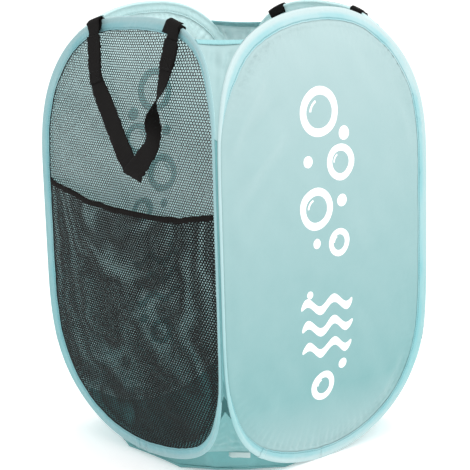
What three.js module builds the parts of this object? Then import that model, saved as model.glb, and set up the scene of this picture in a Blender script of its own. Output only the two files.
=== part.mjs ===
// Pop-up laundry hamper: four bowed oval spring hoops in fabric casings, sewn
// edge to edge into a square tube that is open at the top.
// Millimetres, +Z up, origin on the floor under the middle of the tube.
// Sides: left (-X) and right (+X) are mesh, front (-Y) and back (+Y) are solid
// fabric. On every side u runs along the side, v up, n outward.
import * as THREE from "three";

// ---- driving dimensions -------------------------------------------------
const HEIGHT = 581;            // hoop height, outer edge to outer edge
const HALF_WIDTH = 179.2;      // half the outer width of a hoop
const PLANE = 182.0;           // distance of a hoop's plane from the centre
const AXIS = 179.5;            // corner fold axes stand at +-AXIS
const TOP_H = 228.2, TOP_P = 2.372, TOP_Q = 3.137;   // upper rounded end
const BOT_H = 260.7, BOT_P = 1.853, BOT_Q = 3.733;   // lower rounded end
// inward bow of each hoop: at the top, at the bottom, and its share of the
// distance to the corner, so that neighbours never cross
const BOW = {
  left: [28.5, 25.7, 0.33], front: [29.3, 25.7, 0.33],
  right: [5.5, 0, 0.03], back: [5.0, 0, 0.03],
};
// each hoop as it really stands is a little off the even oval: shifts in its
// own plane, [u: 1, w, w*w at the top; same at the bottom; then v likewise],
// where w runs from -1 to 1 across the hoop
const SKEW = {
  left: [10.2, 8.5, -47.1, 5.8, -6.4, -40.1, -3.8, -7.8, 17.6, 8.5, 0.5, -17.4],
  front: [5.3, 5.7, -25.6, 2.4, -1.1, -13.3, 2.4, 2.3, -11.1, 0.1, -3.5, -9.3],
  right: [-7.3, -12.1, 54.4, 0, 0, 0, -4.1, 15.1, 8.8, 0, 0, 0],
  back: [-0.8, -5.7, 6.5, 0, 0, 0, 1.9, 4.9, -6.6, 0, 0, 0],
};
const WIRE_R = 1.25;           // spring steel wire, 2.5 mm
const FERRULE_IN = 1.45, FERRULE_OUT = 1.85;
const FERRULE_HALF = 14;       // half its length
const CASING_W = 16.5;          // folded sleeve, outer edge to seam
const CASING_T = 5.2;          // over the wire
const PANEL_INSET = 7;         // panel edge inside the sleeve
const PANEL_T = 0.7;
const STRAP_W = 25, STRAP_T = 1.4;
const GUSSET_TIP = 446;        // upper gussets start here
const GUSSET_TOP = {           // and end here, on the first and second hoop
  front_left: [548.2, 554], back_left: [551, 551], front_right: [550, 556], back_right: [546.4, 536.8],
};
const LOW_TIP = 125, LOW_SEAM = 47;                  // lower gusset heights
const SEAM_LOW = 130, SEAM_HIGH = 441;               // sewn corner
const LOOPS = { left: [69, -84], right: [-62, 100.5] };   // handle loops, u
const FLOOR_R = 151;           // where the floor cloth lifts off, diagonal

// ---- materials ----------------------------------------------------------
const aqua = () => new THREE.MeshStandardMaterial({ color: 0x8fd3d3, roughness: 0.75, metalness: 0, side: THREE.FrontSide });
const aquaBright = () => new THREE.MeshStandardMaterial({ color: 0x9fe0e2, roughness: 0.65, metalness: 0 });
const mesh = () => new THREE.MeshStandardMaterial({ color: 0x2a2f30, roughness: 0.8, metalness: 0 });
const webbing = () => new THREE.MeshStandardMaterial({ color: 0x101112, roughness: 0.85, metalness: 0 });
const binding = () => new THREE.MeshStandardMaterial({ color: 0x1b1715, roughness: 0.85, metalness: 0 });
const steel = () => new THREE.MeshStandardMaterial({ color: 0x7c8084, roughness: 0.35, metalness: 1 });
const zinc = () => new THREE.MeshStandardMaterial({ color: 0xa9adb0, roughness: 0.4, metalness: 1 });
const labelWhite = () => new THREE.MeshStandardMaterial({ color: 0xf1f3f1, roughness: 0.6, metalness: 0 });

// ---- shape of a side ----------------------------------------------------
const clamp = (x, a, b) => Math.min(b, Math.max(a, x));
const smin = (a, b) => { a = Math.max(a, 1e-9); b = Math.max(b, 1e-9); return a * b / Math.pow(a ** 5 + b ** 5, 0.2); };
const sTop = v => clamp((v - (HEIGHT - TOP_H)) / TOP_H, 0, 1);
const sBot = v => clamp((BOT_H - v) / BOT_H, 0, 1);
const devTop = s => 1 - Math.pow(1 - Math.pow(s, TOP_Q), 1 / TOP_P);
const devBot = s => 1 - Math.pow(1 - Math.pow(s, BOT_Q), 1 / BOT_P);
const halfWidth = v => HALF_WIDTH * (1 - devTop(sTop(v)) - devBot(sBot(v)));
function bow(side, v) {
  const [lt, lb, k] = BOW[side]; let r = 0;
  if (lt > 0) r += smin(lt * sTop(v) ** 2, k * 180 * devTop(sTop(v)));
  if (lb > 0) r += smin(lb * sBot(v) ** 2, k * 180 * devBot(sBot(v)));
  return r;
}
function skew(side, u, v) {
  const k = SKEW[side], w = u / HALF_WIDTH, a = sTop(v) ** 3, b = sBot(v) ** 3, q = i => k[i] + k[i + 1] * w + k[i + 2] * w * w;
  return [u + a * q(0) + b * q(3), v + a * q(6) + b * q(9)];
}
function place(side, u0, v0, n = 0, even = false) {
  const vc = clamp(v0, 0.5, HEIGHT - 0.5);
  const slope = bow(side, vc + 0.5) - bow(side, vc - 0.5);
  const len = Math.hypot(1, slope), [u, v] = even ? [u0, v0] : skew(side, u0, v0);
  const out = PLANE - bow(side, clamp(v0, 0, HEIGHT)) + n / len, z = v + n * slope / len;
  if (side === "left") return [-out, u, z];
  if (side === "right") return [out, u, z];
  if (side === "front") return [u, -out, z];
  return [u, out, z];
}

// outline of a hoop: points (u, v) with the inward normal (nu, nv), starting
// just right of the bottom middle, up the +u side, over the top and down
function lowerPoint(th) { return [HALF_WIDTH * Math.pow(Math.cos(th), 2 / BOT_P), BOT_H - BOT_H * Math.pow(Math.sin(th), 2 / BOT_Q)]; }
function upperPoint(th) { return [HALF_WIDTH * Math.pow(Math.max(Math.cos(th), 0), 2 / TOP_P), HEIGHT - TOP_H + TOP_H * Math.pow(Math.sin(th), 2 / TOP_Q)]; }
function normalAt(f, th, up) {
  const e = 1e-4, a = f(clamp(th - e, 1e-6, Math.PI / 2 - 1e-6)), b = f(clamp(th + e, 1e-6, Math.PI / 2 - 1e-6));
  let tu = b[0] - a[0], tv = b[1] - a[1]; if (!up) { tu = -tu; tv = -tv; }
  const l = Math.hypot(tu, tv); tu /= l; tv /= l;
  return [-tv, tu];
}
const thLow = u => Math.acos(Math.pow(u / HALF_WIDTH, BOT_P / 2));
const thTop = u => Math.acos(Math.pow(Math.abs(u) / HALF_WIDTH, TOP_P / 2));
const halfRing = [];
for (const u of [0.5, 7, FERRULE_HALF]) { const th = thLow(u), p = lowerPoint(th), n = normalAt(lowerPoint, th, false); halfRing.push([...p, ...n]); }
const NL = 11, NT = 11;
for (let k = 1; k <= NL; k++) {
  const th = Math.PI / 2 * (1 - k / NL) * 0.985;
  if (k < NL) { const p = lowerPoint(th), n = normalAt(lowerPoint, th, false); if (p[0] > FERRULE_HALF + 6) halfRing.push([...p, ...n]); }
  else halfRing.push([HALF_WIDTH, BOT_H, -1, 0]);
}
halfRing.push([HALF_WIDTH, HEIGHT - TOP_H, -1, 0]);
for (let k = 1; k < NT; k++) { const th = Math.PI / 2 * k / NT, p = upperPoint(th), n = normalAt(upperPoint, th, true); halfRing.push([...p, ...n]); }
const bottomMid = [0, 0, 0, 1], topMid = [0, HEIGHT, 0, -1];
const mirror = s => [-s[0], s[1], -s[2], s[3]];
const ring = [bottomMid, ...halfRing, topMid, ...[...halfRing].reverse().map(mirror)];

// ---- solid builders -----------------------------------------------------
function solid(positions, triangles) {
  const p = positions.flat(); let vol = 0;
  for (const [a, b, c] of triangles) {
    const A = positions[a], B = positions[b], C = positions[c];
    vol += (A[0] * (B[1] * C[2] - B[2] * C[1]) - A[1] * (B[0] * C[2] - B[2] * C[0]) + A[2] * (B[0] * C[1] - B[1] * C[0])) / 6;
  }
  const idx = []; for (const [a, b, c] of triangles) vol < 0 ? idx.push(a, c, b) : idx.push(a, b, c);
  const g = new THREE.BufferGeometry();
  g.setAttribute("position", new THREE.Float32BufferAttribute(p, 3));
  g.setIndex(idx);
  const flat = g.toNonIndexed(); flat.computeVertexNormals();
  return flat;
}
// sections: list of lists of 3-D points of one closed profile; capTris: the
// triangles that close an open sweep's ends
function loft(sections, closed, profile2d) {
  const m = sections[0].length, n = sections.length, pos = sections.flat(), tri = [];
  for (let i = 0; i < (closed ? n : n - 1); i++) {
    const a = i * m, b = ((i + 1) % n) * m;
    for (let j = 0; j < m; j++) { const k = (j + 1) % m; tri.push([a + j, b + j, b + k], [a + j, b + k, a + k]); }
  }
  if (!closed) {
    const pts = profile2d.map(q => new THREE.Vector2(q[0], q[1]));
    const area = THREE.ShapeUtils.area(pts);
    const faces = THREE.ShapeUtils.triangulateShape(area > 0 ? pts : [...pts].reverse(), []);
    const fix = area > 0 ? (j => j) : (j => m - 1 - j);
    for (const f of faces) {
      let [x, y, z] = f.map(fix); if (area <= 0) [x, y, z] = [z, y, x];
      tri.push([x, z, y].map(j => j)); tri.push([x, y, z].map(j => (n - 1) * m + j));
    }
    // the caps must run against the walls: check one edge and turn both if not
    const wall = new Set(); for (const t of tri.slice(0, (n - 1) * m * 2)) for (let e = 0; e < 3; e++) wall.add(t[e] + "," + t[(e + 1) % 3]);
    const caps = tri.splice((n - 1) * m * 2);
    const clash = caps.some(t => [0, 1, 2].some(e => wall.has(t[e] + "," + t[(e + 1) % 3])));
    for (const t of caps) tri.push(clash ? [t[0], t[2], t[1]] : t);
  }
  return solid(pos, tri);
}
// a profile of (a, n) points carried along samples of the hoop outline
function along(side, samples, profile, closed) {
  return loft(samples.map(s => profile.map(([a, n]) => place(side, s[0] + a * s[2], s[1] + a * s[3], n))), closed, profile);
}
// two grids of points, [row][column], joined round the edge into a thin solid
function sheet(front, back) {
  const R = front.length, C = front[0].length, pos = [...front.flat(), ...back.flat()], tri = [], o = R * C;
  const id = (r, c) => r * C + c;
  for (let r = 0; r < R - 1; r++) for (let c = 0; c < C - 1; c++) {
    const a = id(r, c), b = id(r, c + 1), d = id(r + 1, c), e = id(r + 1, c + 1);
    tri.push([a, b, e], [a, e, d], [o + a, o + e, o + b], [o + a, o + d, o + e]);
  }
  const rim = [];
  for (let c = 0; c < C - 1; c++) rim.push(id(0, c));
  for (let r = 0; r < R - 1; r++) rim.push(id(r, C - 1));
  for (let c = C - 1; c > 0; c--) rim.push(id(R - 1, c));
  for (let r = R - 1; r > 0; r--) rim.push(id(r, 0));
  rim.forEach((a, i) => { const b = rim[(i + 1) % rim.length]; tri.push([a, o + a, o + b], [a, o + b, b]); });
  return solid(pos, tri);
}
const lerp = (a, b, t) => a.map((x, i) => x + (b[i] - x) * t);
const add = (a, b, k = 1) => a.map((x, i) => x + b[i] * k);
const sub = (a, b) => a.map((x, i) => x - b[i]);
const cross = (a, b) => [a[1] * b[2] - a[2] * b[1], a[2] * b[0] - a[0] * b[2], a[0] * b[1] - a[1] * b[0]];
const unit = a => { const l = Math.hypot(...a); return a.map(x => x / l); };

const hamper = new THREE.Group();
function put(name, geometry, material) { const m = new THREE.Mesh(geometry, material); m.name = name; hamper.add(m); }

// ---- the four framed sides ----------------------------------------------
const hexagon = (r, c) => Array.from({ length: 6 }, (_, i) => [c + r * Math.cos(Math.PI / 3 * i), r * Math.sin(Math.PI / 3 * i)]);
const WC = CASING_T / 2;                                  // wire centre below the edge
const h = CASING_T / 2;
const sleeve = [
  [CASING_W, 1.7], [5.4, 2.1], [1.5, h], [0, 0.95], [0, -0.95], [1.5, -h], [5.4, -2.1], [CASING_W, -1.7],
  [CASING_W, -1.0], [5.0, -1.45], [1.7, -2.05], [0.6, -0.7], [0.6, 0.7], [1.7, 2.05], [5.0, 1.45], [CASING_W, 1.0],
];
const wireRun = ring.slice(1);                            // open at the bottom middle
const nFer = 3;                                           // samples inside the ferrule
const ferruleRun = [...halfRing.slice(0, nFer).reverse().map(s => s), ...halfRing.slice(0, nFer).map(mirror)];
function tube(side, samples, rin, rout, c) {
  const m = 6, n = samples.length, pos = [], tri = [];
  for (const s of samples) for (const r of [rout, rin]) for (const [a, k] of hexagon(r, c)) pos.push(place(side, s[0] + a * s[2], s[1] + a * s[3], k));
  const O = (i, j) => i * 12 + (j % 6), I = (i, j) => i * 12 + 6 + (j % 6);
  for (let i = 0; i < n - 1; i++) for (let j = 0; j < m; j++) {
    tri.push([O(i, j), O(i + 1, j), O(i + 1, j + 1)], [O(i, j), O(i + 1, j + 1), O(i, j + 1)]);
    tri.push([I(i, j), I(i + 1, j + 1), I(i + 1, j)], [I(i, j), I(i, j + 1), I(i + 1, j + 1)]);
  }
  for (let j = 0; j < m; j++) {
    tri.push([O(0, j), O(0, j + 1), I(0, j + 1)], [O(0, j), I(0, j + 1), I(0, j)]);
    tri.push([O(n - 1, j), I(n - 1, j + 1), O(n - 1, j + 1)], [O(n - 1, j), I(n - 1, j), I(n - 1, j + 1)]);
  }
  return solid(pos, tri);
}
function panelSolid(side, inset, t) {
  // rows across the side, each of five points, meeting in one at the ends
  const half = [bottomMid, ...halfRing, topMid], pos = [], tri = [], rows = [], COLS = [-1, -0.5, 0, 0.5, 1];
  half.forEach((s, i) => {
    const u = s[0] + inset * s[2], v = s[1] + inset * s[3], end = i === 0 || i === half.length - 1;
    rows.push([t / 2, -t / 2].map(k => {
      if (end) { pos.push(place(side, 0, v, k)); return COLS.map(() => pos.length - 1); }
      return COLS.map(c => { pos.push(place(side, c * u, v, k)); return pos.length - 1; });
    }));
  });
  const quad = (a, b, c, d) => { for (const f of [[a, b, c], [a, c, d]]) if (new Set(f).size === 3) tri.push(f); };
  for (let i = 0; i < rows.length - 1; i++) {
    const [a, A] = rows[i], [b, B] = rows[i + 1], m = COLS.length - 1;
    for (let c = 0; c < m; c++) { quad(a[c], a[c + 1], b[c + 1], b[c]); quad(A[c + 1], A[c], B[c], B[c + 1]); }
    quad(a[m], A[m], B[m], b[m]); quad(A[0], a[0], b[0], B[0]);
  }
  return solid(pos, tri);
}
for (const side of ["left", "front", "right", "back"]) {
  const isMesh = side === "left" || side === "right";
  put(side + "_hoop_wire", along(side, wireRun, hexagon(WIRE_R, WC), false), steel());
  put(side + "_hoop_ferrule", tube(side, ferruleRun, FERRULE_IN, FERRULE_OUT, WC), zinc());
  put(side + "_hoop_casing", along(side, ring, sleeve, true), aquaBright());
  put(side + (isMesh ? "_mesh_panel" : "_fabric_panel"), panelSolid(side, PANEL_INSET, PANEL_T), isMesh ? mesh() : aqua());
}

// ---- corners: sewn seam, upper gusset with its hem, lower gusset ---------
// [name, side a, sign of u there, side b, sign of u there]
const corners = [
  ["front_left", "left", -1, "front", -1], ["back_left", "left", 1, "back", -1],
  ["front_right", "front", 1, "right", -1], ["back_right", "back", 1, "right", 1],
];
const EDGE_GAP = 0.6;
const edgePoint = (side, sg, z) => place(side, sg * (halfWidth(z) + EDGE_GAP), z, 0);
// a level is one height, or one on each hoop
const ends = (a, sa, b, sb, z) => Array.isArray(z) ? [edgePoint(a, sa, z[0]), edgePoint(b, sb, z[1])] : [edgePoint(a, sa, z), edgePoint(b, sb, z)];
// a point of the cloth between two hoops, t across from a to b
function gussetPoint(a, sa, b, sb, z, t, dish) {
  const [A, B] = ends(a, sa, b, sb, z), chord = unit(sub(B, A));
  let nrm = unit([chord[1], -chord[0], 0]); if (nrm[0] * A[0] + nrm[1] * A[1] < 0) nrm = nrm.map(x => -x);
  return add(lerp(A, B, t), nrm, -dish * Math.hypot(...sub(B, A)) * 4 * t * (1 - t));
}
function gussetSheet(a, sa, b, sb, levels, cols, dish) {
  const f = [], k = [];
  for (const z of levels) {
    const [A, B] = ends(a, sa, b, sb, z), chord = unit(sub(B, A));
    let nrm = unit([chord[1], -chord[0], 0]); if (nrm[0] * A[0] + nrm[1] * A[1] < 0) nrm = nrm.map(x => -x);
    f.push([]); k.push([]);
    for (let c = 0; c <= cols; c++) {
      const p = gussetPoint(a, sa, b, sb, z, c / cols, dish);
      f.at(-1).push(add(p, nrm, 0.35)); k.at(-1).push(add(p, nrm, -0.35));
    }
  }
  return sheet(f, k);
}
const steps = (a, b, n) => Array.from({ length: n + 1 }, (_, i) => a + (b - a) * i / n);
for (const [name, a, sa, b, sb] of corners) {
  // sewn seam: a narrow fin between the two casings
  const prof = [[-2.6, -0.6], [2.6, -0.6], [2.6, 0.6], [-2.6, 0.6]];
  const sec = steps(SEAM_LOW, SEAM_HIGH, 12).map(z => {
    const A = edgePoint(a, sa, z), B = edgePoint(b, sb, z), m = lerp(A, B, 0.5), ch = unit(sub(B, A));
    let r = unit([ch[1], -ch[0], 0]); if (r[0] * m[0] + r[1] * m[1] < 0) r = r.map(x => -x);
    return prof.map(([p, q]) => add(add(m, r, p + 0.6), ch, q));
  });
  put(name + "_corner_seam", loft(sec, false, prof), aquaBright());
  const top = GUSSET_TOP[name], below = d => top.map(z => z - d);
  put(name + "_upper_gusset", gussetSheet(a, sa, b, sb, steps(0, 1, 9).map(q => top.map(z => GUSSET_TIP + (z - GUSSET_TIP) * q)), 4, 0.03), aqua());
  put(name + "_lower_gusset", gussetSheet(a, sa, b, sb, steps(LOW_SEAM + 1.2, LOW_TIP, 8), 4, 0.02), aqua());
  // hem: a folded binding that rides over the gusset's top edge and follows
  // the cloth's slope there
  const hem = [[-7, 1.35], [1.6, 1.35], [1.6, -1.35], [-7, -1.35], [-7, -0.75], [0.8, -0.75], [0.8, 0.75], [-7, 0.75]];
  const hs = [0, 0.25, 0.5, 0.75, 1].map(t => {
    const q = 0.13 + t * 0.74, m = gussetPoint(a, sa, b, sb, top, q, 0.03);
    const lower = gussetPoint(a, sa, b, sb, below(6), q, 0.03);
    const upv = unit(sub(m, lower)), ch = unit(sub(...ends(a, sa, b, sb, top).reverse()));
    const r = unit(cross(ch, upv));
    return hem.map(([x, k]) => add(add(m, upv, x), r, k));
  });
  put(name + "_gusset_hem", loft(hs, false, hem), aquaBright());
}

// ---- floor cloth: flat on the floor, lifting to the hoops and gussets ----
{
  const edge = [];
  const inward = 4.0, rise = 7;
  const side = (s, sg) => {
    const list = [];
    const hw = halfWidth(LOW_SEAM) - 6;
    for (const q of [-1, -0.86, -0.7, -0.5, -0.25, 0, 0.25, 0.5, 0.7, 0.86, 1]) {
      const u = q * hw; let v = 0;
      if (Math.abs(u) > 0.4) v = lowerPoint(thLow(Math.abs(u)))[1];
      list.push(place(s, sg * u, v + rise, -inward));
    }
    return list;
  };
  // counter-clockwise from above: front, right, back, left
  edge.push(...side("front", 1), ...side("right", 1), ...side("back", -1), ...side("left", -1));
  const N = edge.length, levels = [1, 0.72, 0.45, 0.2, 0];
  const lowRows = [], topRows = [];
  for (const t of levels) {
    const lo = [], hi = [];
    for (const p of edge) {
      const r = Math.hypot(p[0], p[1]), diag = Math.abs(Math.sin(2 * Math.atan2(p[1], p[0])));
      const rf = Math.min(r - 7, FLOOR_R + (1 - diag) * 40 - 6);
      const q = rf + (r - rf) * t, z = p[2] * t * t;
      lo.push([p[0] / r * q, p[1] / r * q, z]); hi.push([p[0] / r * q, p[1] / r * q, z + 0.9]);
    }
    lowRows.push(lo); topRows.push(hi);
  }
  const pos = [...lowRows.flat(), ...topRows.flat(), [0, 0, 0], [0, 0, 0.9]], o = N * levels.length, tri = [];
  for (let r = 0; r < levels.length - 1; r++) for (let i = 0; i < N; i++) {
    const j = (i + 1) % N, a = r * N + i, b = r * N + j, c = a + N, d = b + N;
    tri.push([a, c, d], [a, d, b], [o + a, o + d, o + c], [o + a, o + b, o + d]);
  }
  const last = (levels.length - 1) * N, cl = 2 * o, cu = 2 * o + 1;
  for (let i = 0; i < N; i++) {
    const j = (i + 1) % N;
    tri.push([last + i, cl, last + j], [o + last + i, o + last + j, cu]);
    tri.push([i, j, o + j], [i, o + j, o + i]);
  }
  put("bottom_panel", solid(pos, tri), aqua());
}

// ---- care label, sewn in the front left lower seam -----------------------
{
  const A = edgePoint("left", -1, LOW_SEAM), B = edgePoint("front", -1, LOW_SEAM), ch = unit(sub(B, A));
  let r = unit([ch[1], -ch[0], 0]); if (r[0] * A[0] + r[1] * A[1] < 0) r = r.map(x => -x);
  const rows = [0, 8].map(d => [0.52, 0.72, 0.93].map(t => add(add(lerp(A, B, t), r, 0.6), [0, 0, -1], d + 0.3)));
  put("care_label", sheet(rows.map(q => q.map(p => add(p, r, 0.2))), rows.map(q => q.map(p => add(p, r, -0.2)))), labelWhite());
}

// ---- pocket on the left side: second mesh layer and elastic mouth --------
const POCKET_INSET = 17.7;
const mouth = u => 349 + 0.028 * (u + 40) - 7.5 * (1 - (u / 165) ** 2) + 6 * Math.max(0, Math.abs(u) - 120) / 45;
function pocketBulge(u, v) {
  const m = mouth(u), e = clamp(1 - (u / 160) ** 2, 0, 1), d = clamp((v - 30) / (m - 30), 0, 1);
  return 2.3 + 15.5 * Math.pow(e, 0.8) * Math.pow(d, 1.3);
}
{
  const levelsV = [], C = 14;
  const bottom = POCKET_INSET + 1.5;
  for (const q of [0, 0.03, 0.08, 0.16, 0.27, 0.4, 0.55, 0.7, 0.85, 1]) levelsV.push(q);
  const span = v => { // half width inside the casing at height v
    let best = 0;
    for (let k = 0; k < halfRing.length - 1; k++) {
      const a = halfRing[k], b = halfRing[k + 1];
      const va = a[1] + POCKET_INSET * a[3], vb = b[1] + POCKET_INSET * b[3];
      if ((va - v) * (vb - v) <= 0 && Math.abs(vb - va) > 1e-6) { const t = (v - va) / (vb - va); best = Math.max(best, lerp([a[0] + POCKET_INSET * a[2]], [b[0] + POCKET_INSET * b[2]], t)[0]); }
    }
    return best;
  };
  const f = [], k = [];
  for (const q of levelsV) {
    f.push([]); k.push([]);
    for (let c = 0; c <= C; c++) {
      const s = -1 + 2 * c / C;
      let v = bottom + 4 + q * (345 - bottom - 4);
      const u = s * (span(v) - 0.6);
      v = bottom + 4 + q * (mouth(u) - bottom - 4);
      const n = pocketBulge(u, v);
      f.at(-1).push(place("left", u, v, n + 0.35)); k.at(-1).push(place("left", u, v, n - 0.35));
    }
  }
  put("pocket_mesh", sheet(f, k), mesh());
  const bp = [[-5.2, 1.5], [1.5, 1.5], [1.5, -1.5], [-5.2, -1.5], [-5.2, -0.8], [0.6, -0.8], [0.6, 0.8], [-5.2, 0.8]];
  const w = span(345) - 0.6;
  const sec = steps(-1, 1, C).map(s => s * w).map(u => bp.map(([p, q]) => place("left", u, mouth(u) + p, pocketBulge(u, mouth(u) + Math.min(p, 0)) + q)));
  put("pocket_binding", loft(sec, false, bp), binding());
}

// ---- carrying handles: loops round the hoops and a hanging strap ---------
const saddle = [
  [15, 3.2], [0.6, 3.2], [-0.6, 1.9], [-0.6, -1.9], [0.6, -3.2], [12, -3.2],
  [12, -4.6], [0, -4.6], [-2.0, -2.5], [-2.0, 2.5], [0, 4.6], [15, 4.6],
];
function topSample(u) { const th = thTop(u), p = upperPoint(th), n = normalAt(upperPoint, th, true); return u < 0 ? [-p[0], p[1], -n[0], n[1]] : [p[0], p[1], n[0], n[1]]; }
for (const side of ["left", "right"]) LOOPS[side].forEach((u0, i) => {
  const s = [-STRAP_W / 2, -STRAP_W / 4, 0, STRAP_W / 4, STRAP_W / 2].map(d => topSample(u0 + d));
  put(`${side}_handle_loop_${i + 1}`, along(side, s, saddle, false), webbing());
});
// stations of the strap: edge 1 (u, v, n), edge 2 (u, v, n); it hangs from
// one loop, is folded back on itself at the bottom and turns over once
const strapStations = [
  [86, 568, 7.0, 61.5, 572.5, 7.0],
  [79, 555, 7.0, 54, 557, 7.0],
  [70, 534, 6.9, 45, 535, 6.9],
  [61.5, 503, 6.4, 37, 504, 6.4],
  [54, 482, 6.0, 27, 492, 6.0],
  [36.5, 455, 5.6, 10, 472, 5.6],
  [17, 424, 5.2, -9, 443, 5.2],
  [2, 400, 4.8, -30, 412, 4.8],
  [-6, 391, 4.6, -42, 386, 4.6],
  [-10, 387.6, 6.6, -46, 378.4, 6.6],
  [-14, 391.5, 8.8, -50, 383.5, 8.8],
  [-34, 408, 9.2, -63, 396, 9.2],
  [-54, 424.5, 10.5, -78, 414, 9.0],
  [-70, 438, 15, -87, 430, 8.0],
  [-79, 451, 25, -86, 446, 5.0],
  [-84, 462, 27.5, -80, 462, 4.0],
  [-89, 474, 23, -77, 474, 6.0],
  [-97, 492, 12.5, -78, 491, 7.0],
  [-103.5, 517, 7.4, -79.5, 519, 7.0],
  [-107, 541, 7.0, -82, 543, 7.0],
  [-100.6, 563.5, 7.0, -76, 568.5, 7.0],
];
function strap(side, mapU, liftV) {
  // a smooth run through the stations, with finer steps at the crease
  const pts = [0, 1].map(e => new THREE.CatmullRomCurve3(strapStations.map(q => new THREE.Vector3(...q.slice(3 * e, 3 * e + 3))), false, "centripetal"));
  const last = strapStations.length - 1, at = [];
  for (let i = 0; i < last; i++) { const n = i >= 7 && i <= 10 ? 4 : i >= 11 && i <= 17 ? 3 : 2; for (let k = 0; k < n; k++) at.push((i + k / n) / last); }
  at.push(1);
  const mid = at.map(t => pts.map(c => { const p = c.getPoint(t); return place(side, mapU(p.x), p.y + liftV(p.x, p.y), p.z, true); }));
  const cen = mid.map(([a, b]) => lerp(a, b, 0.5));
  const secs = mid.map(([a, b], i) => {
    const t = unit(sub(cen[Math.min(i + 1, cen.length - 1)], cen[Math.max(i - 1, 0)]));
    const n = unit(cross(unit(sub(b, a)), t)), k = STRAP_T / 2;
    return [add(a, n, k), add(b, n, k), add(b, n, -k), add(a, n, -k)];
  });
  return loft(secs, false, [[0, 1], [1, 1], [1, 0], [0, 0]]);
}
put("left_handle_strap", strap("left", u => u, (u, v) => clamp((v - 480) / 90, 0, 1) * (u > 0 ? -2.3 : 4.2)), webbing());
put("right_handle_strap", strap("right", u => -u + 15, (u, v) => clamp((v - 480) / 90, 0, 1) * (u > 0 ? -4.3 : -0.8)), webbing());

export default hamper;
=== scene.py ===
"""Pop-up laundry hamper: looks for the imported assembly.

Four bowed oval hoops in fabric sleeves, two cloth sides, two net sides, a net
pocket with an elastic mouth, cloth gussets, a floor cloth and webbing handles.
Shapes are worked out in millimetres in the part's own frame: on every side u
runs along the side, v up and n outward.
"""
import math

import bpy
import numpy as np
from mathutils import Matrix, Vector


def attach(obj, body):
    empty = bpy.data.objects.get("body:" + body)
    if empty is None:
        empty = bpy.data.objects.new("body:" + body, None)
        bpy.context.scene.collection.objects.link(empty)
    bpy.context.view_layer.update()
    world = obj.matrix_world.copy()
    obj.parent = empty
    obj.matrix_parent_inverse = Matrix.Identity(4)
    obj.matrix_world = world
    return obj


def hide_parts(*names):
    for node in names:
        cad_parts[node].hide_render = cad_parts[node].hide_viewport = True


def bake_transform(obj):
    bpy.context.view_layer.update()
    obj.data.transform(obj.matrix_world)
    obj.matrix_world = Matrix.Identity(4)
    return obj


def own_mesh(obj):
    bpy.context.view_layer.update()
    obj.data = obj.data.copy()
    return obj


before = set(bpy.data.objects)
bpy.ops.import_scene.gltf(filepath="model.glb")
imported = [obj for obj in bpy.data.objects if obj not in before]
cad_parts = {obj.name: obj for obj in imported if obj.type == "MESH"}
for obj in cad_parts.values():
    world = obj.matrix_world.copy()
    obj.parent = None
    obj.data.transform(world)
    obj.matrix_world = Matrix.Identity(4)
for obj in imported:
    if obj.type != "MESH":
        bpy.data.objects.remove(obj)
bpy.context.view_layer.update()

# ---------------------------------------------------------------- shape of a side
H, HW, PLANE, AXIS = 581.0, 179.2, 182.0, 179.5
TOP_H, TOP_P, TOP_Q = 228.2, 2.372, 3.137
BOT_H, BOT_P, BOT_Q = 260.7, 1.853, 3.733
BOW = {"left": (28.5, 25.7, 0.33), "front": (29.3, 25.7, 0.33), "right": (5.5, 0, 0.03), "back": (5.0, 0, 0.03)}
SKEW = {
    "left": (10.2, 8.5, -47.1, 5.8, -6.4, -40.1, -3.8, -7.8, 17.6, 8.5, 0.5, -17.4),
    "front": (5.3, 5.7, -25.6, 2.4, -1.1, -13.3, 2.4, 2.3, -11.1, 0.1, -3.5, -9.3),
    "right": (-7.3, -12.1, 54.4, 0, 0, 0, -4.1, 15.1, 8.8, 0, 0, 0),
    "back": (-0.8, -5.7, 6.5, 0, 0, 0, 1.9, 4.9, -6.6, 0, 0, 0),
}
CASING_W = 16.5
CORNER_PULL = {"left": ((60, 110, 140, 445, 458, 468, 485, 500, 520), (0, 1.2, 1.9, 1.9, 2.3, 2.2, 1.2, 0.3, 0)),
               "front": ((70, 135, 440, 470), (0, 0.9, 0.9, 0))}
GUSSET_TOP = {"front_left": (548.2, 554), "back_left": (551, 551), "front_right": (550, 556), "back_right": (546.4, 536.8)}
LOW_TIP, LOW_SEAM, SEAM_LOW, SEAM_HIGH = 125.0, 47.0, 130.0, 441.0
LOOPS = {"left": (69.0, -84.0), "right": (-62.0, 100.5)}
FLOOR_R = 151.0
CORNERS = [("front_left", "left", -1, "front", -1), ("back_left", "left", 1, "back", -1),
           ("front_right", "front", 1, "right", -1), ("back_right", "back", 1, "right", 1)]


def A(x):
    return np.asarray(x, float)


def smooth(x, a=0.0, b=1.0):
    t = np.clip((A(x) - a) / (b - a), 0, 1)
    return t * t * (3 - 2 * t)


def smin(a, b):
    a, b = np.maximum(a, 1e-9), np.maximum(b, 1e-9)
    return a * b / (a ** 5 + b ** 5) ** 0.2


def s_top(v):
    return np.clip((A(v) - (H - TOP_H)) / TOP_H, 0, 1)


def s_bot(v):
    return np.clip((BOT_H - A(v)) / BOT_H, 0, 1)


def dev_top(s):
    return 1 - np.maximum(1 - s ** TOP_Q, 0) ** (1 / TOP_P)


def dev_bot(s):
    return 1 - np.maximum(1 - s ** BOT_Q, 0) ** (1 / BOT_P)


def half_width(v):
    return HW * (1 - dev_top(s_top(v)) - dev_bot(s_bot(v)))


def low_outline(u):
    return BOT_H * (1 - np.maximum(1 - (np.abs(A(u)) / HW) ** BOT_P, 0) ** (1 / BOT_Q))


def top_outline(u):
    return H - TOP_H + TOP_H * np.maximum(1 - (np.abs(A(u)) / HW) ** TOP_P, 0) ** (1 / TOP_Q)


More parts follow.
